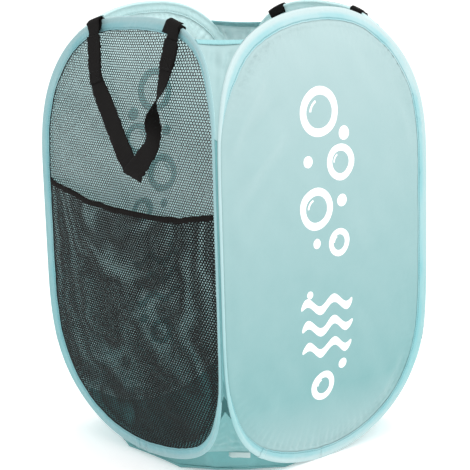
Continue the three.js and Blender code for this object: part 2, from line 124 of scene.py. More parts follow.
def bow(side, v):
    lt, lb, k = BOW[side]
    r = 0 * A(v)
    if lt > 0:
        r = r + smin(lt * s_top(v) ** 2, k * 180 * dev_top(s_top(v)))
    if lb > 0:
        r = r + smin(lb * s_bot(v) ** 2, k * 180 * dev_bot(s_bot(v)))
    return r


def skew(side, u, v):
    k, w, a, b = SKEW[side], u / HW, s_top(v) ** 3, s_bot(v) ** 3
    q = lambda i: k[i] + k[i + 1] * w + k[i + 2] * w * w
    du = 0.0
    if side in CORNER_PULL:      # both hoops are drawn tight into the front left corner
        hs, ds = CORNER_PULL[side]
        du = np.interp(v, hs, ds) * smooth(-A(u), 110, 172)
    return u + a * q(0) + b * q(3) - du, v + a * q(6) + b * q(9)


def place(side, u, v, n=0.0, even=False):
    u, v, n = np.broadcast_arrays(A(u), A(v), A(n))
    vc = np.clip(v, 0.5, H - 0.5)
    slope = bow(side, vc + 0.5) - bow(side, vc - 0.5)
    ln = np.hypot(1, slope)
    u2, v2 = (u, v) if even else skew(side, u, v)
    out, z = PLANE - bow(side, np.clip(v, 0, H)) + n / ln, v2 + n * slope / ln
    xyz = {"left": (-out, u2, z), "right": (out, u2, z), "front": (u2, -out, z), "back": (u2, out, z)}[side]
    return np.stack(xyz, -1)


def waves(x, y, size, seed, count=9):
    """Smooth wandering values of about -1 to 1, with features of the given size."""
    r = np.random.default_rng(seed)
    out = 0
    for _ in range(count):
        ang, f, ph = r.uniform(0, 2 * np.pi), r.uniform(0.6, 1.5) / size, r.uniform(0, 2 * np.pi)
        out = out + np.sin(2 * np.pi * f * (A(x) * np.cos(ang) + A(y) * np.sin(ang)) + ph)
    return out / math.sqrt(count) / 1.15


# the outline of a hoop by arc length s, from the bottom middle towards +u
_x = np.linspace(0, 1, 4001)
_th = np.pi / 2 * _x ** 3
_c = np.maximum(np.cos(_th), 0)
_lu, _lv = HW * _c ** (2 / BOT_P), BOT_H - BOT_H * np.sin(_th) ** (2 / BOT_Q)
_tu, _tv = HW * _c ** (2 / TOP_P), H - TOP_H + TOP_H * np.sin(_th) ** (2 / TOP_Q)
_pu = np.concatenate([_lu[::-1], _tu, -_tu[::-1][1:], -_lu[1:]])
_pv = np.concatenate([_lv[::-1], _tv, _tv[::-1][1:], _lv[1:]])
_cum = np.concatenate([[0], np.cumsum(np.hypot(np.diff(_pu), np.diff(_pv)))])
LEN = float(_cum[-1])
NS = 2600
RS = LEN * np.arange(NS) / NS
RU, RV = np.interp(RS, _cum, _pu), np.interp(RS, _cum, _pv)


def _blur(x, mm):
    k = int(round(3 * mm / (LEN / NS)))
    w = np.exp(-0.5 * (np.arange(-k, k + 1) * (LEN / NS) / mm) ** 2)
    return np.convolve(np.concatenate([x[-k:], x, x[:k]]), w / w.sum(), "valid")


_tu = _blur(np.roll(RU, -1) - np.roll(RU, 1), 3.0)
_tv = _blur(np.roll(RV, -1) - np.roll(RV, 1), 3.0)
_l = np.hypot(_tu, _tv)
RTU, RTV = _tu / _l, _tv / _l
RNU, RNV = -RTV, RTU
_ang = np.unwrap(np.arctan2(RTV, RTU))
RK = _blur(np.gradient(_ang, LEN / NS), 4.0)
RK[:6] = RK[6]
RK[-6:] = RK[-7]


def ring(s, table):
    return np.interp(np.mod(s, LEN), np.append(RS, LEN), np.append(table, table[0]))


SC = {}
for _side in BOW:
    _a, _b = skew(_side, RU, RV), skew(_side, RU + RNU, RV + RNV)
    SC[_side] = np.clip(1 / np.hypot(_b[0] - _a[0], _b[1] - _a[1]), 0.7, 1.45)


def ring_uv(side, s, a):
    k = ring(s, SC[side]) * a
    return ring(s, RU) + ring(s, RNU) * k, ring(s, RV) + ring(s, RNV) * k


def ring_surf(side, s, a, n=0.0):
    u, v = ring_uv(side, s, a)
    return place(side, u, v, n)


def band_width(side, s):
    """Width of the sleeve: narrower where it turns round its wire into the front left corner."""
    u, v = ring(s, RU), ring(s, RV)
    w = CASING_W + 0.35 * waves(s, 0 * A(s), 60, 3 + len(side))
    if side == "left":
        t = np.interp(v, [0, 25, 45, 75, 110, 145, 440, 480, 525, 555, 574], [16.5, 14.5, 12, 9.6, 7.4, 5.3, 5.3, 7.4, 9.5, 12.5, 16.5])
        w = np.where(u < 0, np.minimum(w, t), w)
    if side == "front":
        t = np.interp(v, [0, 30, 60, 110, 150, 430, 450, 476, 520], [16.5, 13.5, 11, 8.0, 5.3, 5.3, 5.8, 8.2, 16.5])
        w = np.where(u < 0, np.minimum(w, t), w)
    return w


def slim(side, s):
    """Scale of the sleeve's section: tighter on its wire in the front left corner."""
    u, v = ring(s, RU), ring(s, RV)
    if side not in CORNER_PULL:
        return 1.0 + 0 * u
    return 1 - 0.2 * smooth(v, 80, 145) * (1 - smooth(v, 430, 480)) * (u < 0)


# distance from the outline, and the nearest place on it, on a 2 mm grid
_gu, _gv = np.arange(-186, 187, 2.0), np.arange(-6, 588, 2.0)
_GU, _GV = np.meshgrid(_gu, _gv)
_best, _arg = np.full(_GU.shape, 1e9), np.zeros(_GU.shape)
for _i in range(0, NS, 4):
    _d = (_GU - RU[_i]) ** 2 + (_GV - RV[_i]) ** 2
    _m = _d < _best
    _best[_m], _arg[_m] = _d[_m], _i
_DIST, _NEAR = np.sqrt(_best), _arg.astype(int)


def edge_dist(u, v):
    x = np.clip((A(u) + 186) / 2, 0, len(_gu) - 1.001)
    y = np.clip((A(v) + 6) / 2, 0, len(_gv) - 1.001)
    i, j = x.astype(int), y.astype(int)
    fx, fy = x - i, y - j
    d = _DIST
    return (d[j, i] * (1 - fx) + d[j, i + 1] * fx) * (1 - fy) + (d[j + 1, i] * (1 - fx) + d[j + 1, i + 1] * fx) * fy


def edge_s(u, v):
    i = np.clip(np.round((A(u) + 186) / 2).astype(int), 0, len(_gu) - 1)
    j = np.clip(np.round((A(v) + 6) / 2).astype(int), 0, len(_gv) - 1)
    return RS[_NEAR[j, i]]


# ---------------------------------------------------------------- mesh building
def mesh(name, verts, faces, uv=None, mats=(), face_mat=None, flat=False):
    """faces: list of integer arrays, each (k, 3) or (k, 4)."""
    verts = A(verts).reshape(-1, 3) / 1000.0
    faces = [np.asarray(f, int) for f in faces if len(f)]
    loops = np.concatenate([f.ravel() for f in faces])
    sizes = np.concatenate([np.full(len(f), f.shape[1]) for f in faces])
    starts = np.concatenate([[0], np.cumsum(sizes)[:-1]])
    me = bpy.data.meshes.new(name)
    me.vertices.add(len(verts))
    me.vertices.foreach_set("co", verts.ravel())
    me.loops.add(len(loops))
    me.loops.foreach_set("vertex_index", loops.astype(np.int32))
    me.polygons.add(len(sizes))
    me.polygons.foreach_set("loop_start", starts.astype(np.int32))
    if uv is not None:
        layer = me.uv_layers.new(name="UVMap")
        layer.data.foreach_set("uv", (A(uv).reshape(-1, 2)[loops] / 1000.0).ravel())
    me.update(calc_edges=True)
    me.validate()
    me.polygons.foreach_set("use_smooth", np.full(len(me.polygons), not flat))
    for m in (mats if isinstance(mats, (list, tuple)) else [mats]):
        me.materials.append(m)
    if face_mat is not None:
        me.polygons.foreach_set("material_index", np.asarray(face_mat, np.int32))
    me.update()
    ob = bpy.data.objects.new(name, me)
    bpy.context.scene.collection.objects.link(ob)
    return ob


def sheet_faces(R, C, o=0, flip=False):
    r, c = np.meshgrid(np.arange(R - 1), np.arange(C - 1), indexing="ij")
    a = (o + r * C + c).ravel()
    f = np.stack([a, a + 1, a + 1 + C, a + C], 1)
    return f[:, [0, 3, 2, 1]] if flip else f


def shell(name, top, bot, uv, mats, **kw):
    """Closed thin shell between two grids (R, C, 3) of the same shape. A second material goes on the lower grid."""
    R, C = top.shape[:2]
    if isinstance(mats, (list, tuple)) and len(mats) == 2:
        k = (R - 1) * (C - 1)
        kw["face_mat"] = np.concatenate([np.zeros(k), np.ones(k), np.zeros(2 * (R + C - 2))])
    o = R * C
    ids = np.arange(o).reshape(R, C)
    rim = np.concatenate([ids[0, :-1], ids[:-1, -1], ids[-1, :0:-1], ids[:0:-1, 0]])
    nxt = np.roll(rim, -1)
    sides = np.stack([nxt, rim, rim + o, nxt + o], 1)
    return mesh(name, np.concatenate([top.reshape(-1, 3), bot.reshape(-1, 3)]),
                [sheet_faces(R, C), sheet_faces(R, C, o, True), sides],
                np.concatenate([uv.reshape(-1, 2)] * 2), mats, **kw)


def sweep(name, P, uv, mats, closed=True, **kw):
    """P (N, M, 3): closed profiles of M points along N stations; ends capped by fans when open."""
    N, M = P.shape[:2]
    i = np.arange(N if closed else N - 1)[:, None]
    j = np.arange(M)[None, :]
    a, b = i * M + j, i * M + (j + 1) % M
    c, d = ((i + 1) % N) * M + (j + 1) % M, ((i + 1) % N) * M + j
    quads = np.stack([a, d, c, b], -1).reshape(-1, 4)
    verts, uvs, faces = P.reshape(-1, 3), uv.reshape(-1, 2), [quads]
    if not closed:
        ends = np.stack([P[0].mean(0), P[-1].mean(0)])
        k = len(verts)
        verts = np.concatenate([verts, ends])
        uvs = np.concatenate([uvs, uv[0].mean(0)[None], uv[-1].mean(0)[None]])
        j, e = np.arange(M), (N - 1) * M
        faces += [np.stack([np.full(M, k), j, (j + 1) % M], 1), np.stack([np.full(M, k + 1), e + (j + 1) % M, e + j], 1)]
    return mesh(name, verts, faces, uvs, mats, **kw)


def unit(x):
    return x / np.maximum(np.linalg.norm(x, axis=-1, keepdims=True), 1e-12)


def threads(name, P, T, N, mat, length=2.6, r=0.24):
    """Sewing stitches: short rounded threads, centred at P, along T, half sunk in the surface with normal N."""
    T, N = unit(T), unit(N)
    B = unit(np.cross(T, N))
    sec = [(-0.5, 0.10, -0.10), (-0.36, r, 0.06), (0, r * 1.05, 0.12), (0.36, r, 0.06), (0.5, 0.10, -0.10)]
    ring5 = [(math.cos(t), math.sin(t)) for t in np.arange(5) * 2 * np.pi / 5 + 0.3]
    v = []
    for x, rad, up in sec:
        for c, s in ring5:
            v.append(P + T * (x * length) + B * (c * rad) + N * (s * rad + up))
    V = np.stack(v, 1)                       # (K, 25, 3)
    K = len(P)
    q = [[i * 5 + j, (i + 1) * 5 + j, (i + 1) * 5 + (j + 1) % 5, i * 5 + (j + 1) % 5] for i in range(4) for j in range(5)]
    caps = [[0, 1, 2], [0, 2, 3], [0, 3, 4], [20, 22, 21], [20, 23, 22], [20, 24, 23]]
    o = (np.arange(K) * 25)[:, None, None]
    uv = np.broadcast_to(np.stack([np.repeat([s[0] * length for s in sec], 5), np.tile(np.arange(5) * 0.3, 5)], -1), (K, 25, 2))
    return mesh(name, V.reshape(-1, 3), [(np.array(q)[None] + o).reshape(-1, 4), (np.array(caps)[None] + o).reshape(-1, 3)], uv.reshape(-1, 2), mat)


# ---------------------------------------------------------------- materials
class Nodes:
    def __init__(self, name):
        self.m = bpy.data.materials.new(name)
        self.m.use_nodes = True
        self.t = self.m.node_tree
        self.b = self.t.nodes["Principled BSDF"]

    def add(self, kind, **props):
        n = self.t.nodes.new(kind)
        for k, v in props.items():
            setattr(n, k, v)
        return n

    def link(self, a, b):
        self.t.links.new(a, b)

    def val(self, node, **inputs):
        for k, v in inputs.items():
            node.inputs[k.replace("_", " ")].default_value = v
        return node

    def math(self, op, a, b=None, clamp=False):
        n = self.add("ShaderNodeMath", operation=op, use_clamp=clamp)
        for i, x in enumerate([a, b]):
            if x is None:
                continue
            if isinstance(x, (int, float)):
                n.inputs[i].default_value = x
            else:
                self.link(x, n.inputs[i])
        return n.outputs[0]

    def ramp(self, fac, stops):
        n = self.add("ShaderNodeValToRGB")
        while len(n.color_ramp.elements) < len(stops):
            n.color_ramp.elements.new(0.5)
        for e, (p, c) in zip(n.color_ramp.elements, stops):
            e.position, e.color = p, (*c, 1)
        self.link(fac, n.inputs[0])
        return n.outputs[0]

    def noise(self, vec, scale, detail=2.0, rough=0.5):
        n = self.add("ShaderNodeTexNoise")
        n.inputs["Scale"].default_value = scale
        n.inputs["Detail"].default_value = detail
        n.inputs["Roughness"].default_value = rough
        self.link(vec, n.inputs["Vector"])
        return n.outputs["Fac"]


def uv_xy(k):
    uv = k.add("ShaderNodeTexCoord").outputs["UV"]
    sep = k.add("ShaderNodeSeparateXYZ")
    k.link(uv, sep.inputs[0])
    return uv, sep.outputs[0], sep.outputs[1]


def weave(k, x, y, pitch):
    """Height of a plain weave, 0 to 1: warp and weft threads that pass over each other in turn."""
    a = k.math("MULTIPLY", x, math.pi / pitch)
    b = k.math("MULTIPLY", y, math.pi / pitch)
    sa, sb = k.math("SINE", a), k.math("SINE", b)
    over = k.math("MULTIPLY", k.math("SINE", k.math("MULTIPLY", a, 0.5)), k.math("SINE", k.math("MULTIPLY", b, 0.5)))
    warp = k.math("MULTIPLY", k.math("ABSOLUTE", sa), k.math("ADD", k.math("MULTIPLY", over, 0.35), 0.65))
    weft = k.math("MULTIPLY", k.math("ABSOLUTE", sb), k.math("SUBTRACT", 0.65, k.math("MULTIPLY", over, 0.35)))
    return k.math("MAXIMUM", warp, weft)


def cloth(name, light, dark, pitch=0.0007, rough=0.5, sheen=0.25, spec=0.35, bump=0.00006, wrinkle=0.0004, mottled=0.5, coarse=0.0, painted_light_colour=None, sleeve=False):
    """Woven polyester: fine weave, slight colour unevenness and tiny creases."""
    k = Nodes(name)
    uv, x, y = uv_xy(k)
    w = weave(k, x, y, pitch)
    big = k.noise(uv, 18, 3, 0.55)
    slub_map = k.add("ShaderNodeMapping")
    slub_map.inputs["Scale"].default_value = (900, 70, 1)
    k.link(uv, slub_map.inputs[0])
    slub = k.noise(slub_map.outputs[0], 1.0, 2, 0.6)
    # colour from mottling, slubs and the weave: raised threads are paler, painted shade in the weave's hollows
    mix = k.math("ADD", k.math("MULTIPLY", big, mottled), k.math("ADD", k.math("MULTIPLY", slub, 0.22), k.math("MULTIPLY", w, 0.28)))
    colour = k.ramp(mix, [(0.25, dark), (0.75, light)])
    if painted_light_colour:      # painted light: the cloth is paler towards the top and again just above the floor, where more light falls on it
        mx = k.add("ShaderNodeMix", data_type="RGBA")
        up = k.add("ShaderNodeMapRange")
        place_ = k.add("ShaderNodeSeparateXYZ")
        k.link(k.add("ShaderNodeTexCoord").outputs["Object"], place_.inputs[0])
        z = place_.outputs[2]
        # near the floor the factor rises again: painted light bounced up from the floor
        low = k.math("MULTIPLY", k.math("MAXIMUM", k.math("SUBTRACT", 0.10, z), 0.0), 5.0)
        k.link(k.math("ADD", k.math("ADD", z, low), k.math("MULTIPLY", big, 0.08)), up.inputs["Value"])
        up.inputs["From Min"].default_value, up.inputs["From Max"].default_value = 0.06, 0.60
        k.link(up.outputs[0], mx.inputs["Factor"])
        k.link(colour, mx.inputs[6])
        mx.inputs[7].default_value = (*painted_light_colour, 1)
        colour = mx.outputs[2]
    if sleeve:     # across a sleeve: painted shade deepening the colour towards its seam, in patches, and a painted shadow in the groove where it is sewn
        across = k.math("MULTIPLY", k.math("ABSOLUTE", x), 1000.0)
        where = k.noise(uv, 14, 2, 0.5)
        painted_seam_shade = k.math("MULTIPLY", k.math("MULTIPLY", k.math("SUBTRACT", across, 5.0), 0.22, clamp=True),
                      k.math("MULTIPLY", k.math("SUBTRACT", where, 0.18), 2.4, clamp=True))
        painted_groove_shadow = k.math("SUBTRACT", 1.0, k.math("MULTIPLY", k.math("ABSOLUTE", k.math("SUBTRACT", across, 14.3)), 0.85), clamp=True)
        for fac, tint in ((painted_seam_shade, (0.60, 0.87, 0.91)), (painted_groove_shadow, (0.38, 0.58, 0.62))):
            mm = k.add("ShaderNodeMix", data_type="RGBA", blend_type="MULTIPLY")
            k.link(fac, mm.inputs["Factor"])
            k.link(colour, mm.inputs[6])
            mm.inputs[7].default_value = (*tint, 1)
            colour = mm.outputs[2]
    k.link(colour, k.b.inputs["Base Color"])
    k.link(k.math("ADD", k.math("MULTIPLY", big, 0.12), rough - 0.06), k.b.inputs["Roughness"])
    b1 = k.add("ShaderNodeBump")
    b1.inputs["Strength"].default_value = 0.35
    b1.inputs["Distance"].default_value = bump
    k.link(w, b1.inputs["Height"])
    b2 = k.add("ShaderNodeBump")
    b2.inputs["Strength"].default_value = 0.5
    b2.inputs["Distance"].default_value = wrinkle
    k.link(k.math("ADD", k.noise(uv, 90, 4, 0.55), k.math("MULTIPLY", k.noise(uv, 26, 2, 0.5), 2.0 + coarse)), b2.inputs["Height"])
    k.link(b1.outputs[0], b2.inputs["Normal"])
    k.link(b2.outputs[0], k.b.inputs["Normal"])
    k.b.inputs["Specular IOR Level"].default_value = spec
    k.b.inputs["Sheen Weight"].default_value = sheen
    k.b.inputs["Sheen Roughness"].default_value = 0.45
    k.b.inputs["Sheen Tint"].default_value = (0.9, 1.0, 1.0, 1)
    return k.m


def band(name, light, dark, rib=0.0011, rough=0.75, spec=0.2, across=0.0, bump=0.00025, sheen=0.1, mid=0.0):
    """Narrow woven band: ribs across it and a fine twill, with painted shade in the grooves. UV x across, y along."""
    k = Nodes(name)
    uv, x, y = uv_xy(k)
    ribs = k.math("ABSOLUTE", k.math("SINE", k.math("MULTIPLY", y, math.pi / rib)))
    twill = k.math("ABSOLUTE", k.math("SINE", k.math("MULTIPLY", k.math("ADD", x, k.math("MULTIPLY", y, 0.6)), math.pi / 0.0016)))
    cords = k.math("ABSOLUTE", k.math("SINE", k.math("MULTIPLY", x, math.pi / 0.0021)))
    n = k.noise(uv, 260, 3, 0.6)
    h = k.math("ADD", k.math("MULTIPLY", ribs, 0.5), k.math("ADD", k.math("MULTIPLY", twill, 0.25), k.math("MULTIPLY", cords, 0.25)))
    f = k.math("ADD", k.math("MULTIPLY", h, 0.6), k.math("MULTIPLY", n, 0.4))
    # paler on the raised ribs and cords: painted shade in the grooves
    k.link(k.ramp(f, [(0.2, dark), (0.8, light)]), k.b.inputs["Base Color"])
    k.link(k.math("ADD", k.math("MULTIPLY", n, 0.15), rough - 0.07), k.b.inputs["Roughness"])
    b = k.add("ShaderNodeBump")
    b.inputs["Strength"].default_value = 0.6
    b.inputs["Distance"].default_value = bump
    k.link(h, b.inputs["Height"])
    k.link(b.outputs[0], k.b.inputs["Normal"])
    k.b.inputs["Specular IOR Level"].default_value = spec
    k.b.inputs["Sheen Weight"].default_value = sheen
    return k.m


def yarn(name, light, dark, rough=0.6, spec=0.3):
    """Knitted or twisted yarn: fine fibres along it."""
    k = Nodes(name)
    uv, x, y = uv_xy(k)
    tw = k.math("ABSOLUTE", k.math("SINE", k.math("MULTIPLY", k.math("ADD", x, y), math.pi / 0.0005)))
    n = k.noise(uv, 140, 2, 0.5)
    # paler on the twist's ridges: painted shade in its grooves
    k.link(k.ramp(k.math("ADD", k.math("MULTIPLY", tw, 0.4), k.math("MULTIPLY", n, 0.6)), [(0.25, dark), (0.75, light)]), k.b.inputs["Base Color"])
    b = k.add("ShaderNodeBump")
    b.inputs["Strength"].default_value = 0.4
    b.inputs["Distance"].default_value = 0.0001
    k.link(tw, b.inputs["Height"])
    k.link(b.outputs[0], k.b.inputs["Normal"])
    k.b.inputs["Roughness"].default_value = rough
    k.b.inputs["Specular IOR Level"].default_value = spec
    return k.m


def metal(name, base, rough):
    k = Nodes(name)
    co = k.add("ShaderNodeTexCoord").outputs["Object"]
    mp = k.add("ShaderNodeMapping")
    mp.inputs["Scale"].default_value = (1, 1, 1)
    k.link(co, mp.inputs[0])
    n = k.noise(mp.outputs[0], 900, 3, 0.6)
    k.link(k.ramp(n, [(0.3, tuple(c * 0.8 for c in base)), (0.7, base)]), k.b.inputs["Base Color"])
    k.link(k.math("ADD", k.math("MULTIPLY", n, 0.2), rough), k.b.inputs["Roughness"])
    b = k.add("ShaderNodeBump")
    b.inputs["Strength"].default_value = 0.2
    b.inputs["Distance"].default_value = 0.0001
    k.link(n, b.inputs["Height"])
    k.link(b.outputs[0], k.b.inputs["Normal"])
    k.b.inputs["Metallic"].default_value = 1.0
    return k.m


M_PANEL = cloth("panel cloth", (0.158, 0.355, 0.360), (0.125, 0.322, 0.327), pitch=0.0006, rough=0.48, sheen=0.3, wrinkle=0.0006, mottled=0.7, painted_light_colour=(0.354, 0.484, 0.489))
# the inner faces are much paler than the outer: painted light, standing in for light coming through the thin cloth
M_INSIDE_PAINTED_LIGHT = cloth("cloth inner face, painted light", (0.66, 0.88, 0.885), (0.58, 0.82, 0.825), pitch=0.0006, rough=0.5, sheen=0.2, wrinkle=0.0005, mottled=0.7)
M_CLOTH = cloth("gusset cloth", (0.200, 0.41, 0.415), (0.145, 0.345, 0.35), pitch=0.0006, rough=0.5, sheen=0.25, wrinkle=0.0007, coarse=1.5, mottled=0.7, painted_light_colour=(0.325, 0.475, 0.48))
# painted shade: a darker copy of the gusset cloth for the lower gussets, low down where less light reaches
M_GUSSET_LOW_PAINTED_SHADE = cloth("lower gusset cloth, painted shade", (0.132, 0.332, 0.336), (0.075, 0.255, 0.259), pitch=0.0006, rough=0.5, sheen=0.25, wrinkle=0.0007, coarse=1.5, mottled=0.7, painted_light_colour=(0.2, 0.395, 0.40))
# painted light: the gussets' inner faces are a much paler copy of the gusset cloth
M_GUSSET_IN_PAINTED_LIGHT = cloth("gusset cloth, inner face, painted light", (0.76, 0.97, 0.98), (0.69, 0.94, 0.95), pitch=0.0006, rough=0.5, sheen=0.2, wrinkle=0.0006, mottled=0.7)
# painted shade: the floor cloth is darker, for the skirt under the hamper where little light bounces in
M_FLOORCLOTH_PAINTED_SHADE = cloth("floor cloth", (0.125, 0.340, 0.346), (0.098, 0.288, 0.294), pitch=0.0006, rough=0.6, sheen=0.1, wrinkle=0.0006, coarse=1.5)
M_CASING = cloth("casing cloth", (0.235, 0.495, 0.51), (0.170, 0.425, 0.44), pitch=0.0008, rough=0.4, sheen=0.35, wrinkle=0.0012, mottled=0.75, coarse=1.5, painted_light_colour=(0.475, 0.59, 0.596), sleeve=True)
# painted shade: a darker copy of the sleeve cloth for the left hoop, the side that gets less light
M_CASING_PAINTED_SHADE = cloth("casing cloth, painted shade, pocket side", (0.215, 0.455, 0.475), (0.150, 0.37, 0.39), pitch=0.0008, rough=0.4, sheen=0.3, wrinkle=0.0014, mottled=0.85, coarse=2.0, painted_light_colour=(0.275, 0.44, 0.46), sleeve=True)
# painted shade: the seam cloth is darker than the gussets, as the seam lies recessed between the two sleeves
M_SEAM_PAINTED_SHADE = cloth("corner seam cloth, painted shade", (0.150, 0.36, 0.372), (0.110, 0.30, 0.312), pitch=0.0008, rough=0.5, sheen=0.2, wrinkle=0.0009, mottled=0.75, coarse=1.5)
M_HEM = cloth("hem cloth", (0.27, 0.53, 0.55), (0.20, 0.45, 0.47), pitch=0.0008, rough=0.45, sheen=0.3, wrinkle=0.0009, mottled=0.75, coarse=1.5)
# painted light: the sleeves' inner faces are a much paler copy of the sleeve cloth
M_CASING_IN_PAINTED_LIGHT = cloth("casing cloth, inner face, painted light", (0.62, 0.86, 0.865), (0.54, 0.80, 0.81), pitch=0.0008, rough=0.45, sheen=0.3, wrinkle=0.0009, mottled=0.75, coarse=1.0)
M_THREAD = yarn("sewing thread", (0.34, 0.58, 0.59), (0.24, 0.47, 0.48))
M_PRINT = cloth("white ink", (0.93, 0.945, 0.945), (0.89, 0.91, 0.91), pitch=0.0006, rough=0.42, sheen=0.1, bump=0.00003, wrinkle=0.0003, mottled=0.3)
# painted shadow: the ink's shapes, darker, on the inner faces, where the ink blocks light coming through the cloth
M_INK_PAINTED_SHADOW = cloth("painted shadow of the ink, seen through cloth", (0.30, 0.54, 0.55), (0.26, 0.49, 0.50), pitch=0.0006, rough=0.6, sheen=0.1, mottled=0.4)
M_NET = yarn("net yarn", (0.036, 0.041, 0.040), (0.015, 0.018, 0.018), rough=0.42, spec=0.4)
# painted shade: the pocket's yarn is far darker than the side net's, for the shaded double layer and the dark inside
# behind it
M_POCKET_PAINTED_SHADE = yarn("pocket yarn, painted shade", (0.008, 0.011, 0.011), (0.003, 0.005, 0.005), rough=0.6, spec=0.12)
M_SELVAGE = band("net selvage", (0.022, 0.026, 0.027), (0.008, 0.010, 0.011), rib=0.0009, spec=0.1, sheen=0.0)
M_ELASTIC = band("elastic binding", (0.0120, 0.0105, 0.0100), (0.0042, 0.0037, 0.0035), rib=0.0013, bump=0.0003, spec=0.05, sheen=0.0)
M_WEB = band("webbing", (0.0085, 0.0076, 0.0072), (0.0026, 0.0023, 0.0022), rib=0.0016, rough=0.7, spec=0.08, bump=0.0004, sheen=0.0)
M_WEBTHREAD = yarn("webbing thread", (0.022, 0.022, 0.022), (0.008, 0.008, 0.008), spec=0.1)
M_LABEL = band("label ribbon", (0.43, 0.54, 0.535), (0.34, 0.46, 0.455), rib=0.0007, rough=0.4, spec=0.5, bump=0.00008)
M_STEEL = metal("spring steel", (0.55, 0.56, 0.58), 0.28)
M_FERRULE = metal("crimped ferrule", (0.66, 0.67, 0.68), 0.35)


def finish_piece(ob, body, slot, *nodes):
    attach(ob, body)
    if nodes:
        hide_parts(*nodes)
    return ob


# ---------------------------------------------------------------- casings
OUT_A = A([0, 0.2, 0.6, 1.2, 1.9, 2.6, 3.4, 4.2, 5.0, 6.2, 7.8, 9.6, 11.4, 13.2, 14.2, 15.2, 16.1, 16.5])
OUT_H = A([0, 0.95, 1.55, 2.05, 2.38, 2.48, 2.38, 2.1, 1.7, 1.36, 1.2, 1.22, 1.3, 1.28, 0.86, 1.22, 1.2, 0.95])
IN_A = A([0.5, 0.8, 1.4, 2.6, 4.2, 6.2, 9.6, 13.0, 16.2])
IN_H = A([0.0, 0.95, 1.6, 2.12, 1.7, 1.02, 0.82, 0.7, 0.62])


def squeeze(a, W):
    return np.where(a <= 5, a, 5 + (a - 5) * (W - 5) / (CASING_W - 5))


def pucker(side, s, a):
    """How far the gathered sleeve puffs out between its edge and its seam."""
    k = np.clip((ring(s, RK) - 0.0005) / 0.009, 0, 1.25)
    seed = {"left": 11, "front": 12, "right": 13, "back": 14}[side]
    wander = 3.0 * waves(s, 0 * A(s), 55, seed)
    puff = 0.5 + 0.5 * np.sin(2 * np.pi * (s + 0.55 * a + wander) / 9.5)
    puff2 = 0.5 + 0.5 * np.sin(2 * np.pi * (s - 0.35 * a + 2 * wander) / 14.7 + 1.0)
    level = 0.5 + 0.5 * waves(s, 40 + 0 * A(s), 45, seed + 7)
    amp = (0.10 + 0.62 * k) * (0.45 + 0.75 * level)
    shape = smooth(a, 3.6, 8.5) * (1 - smooth(a, 11.8, 14.2))
    return amp * shape * (0.6 * puff ** 1.5 + 0.4 * puff2)


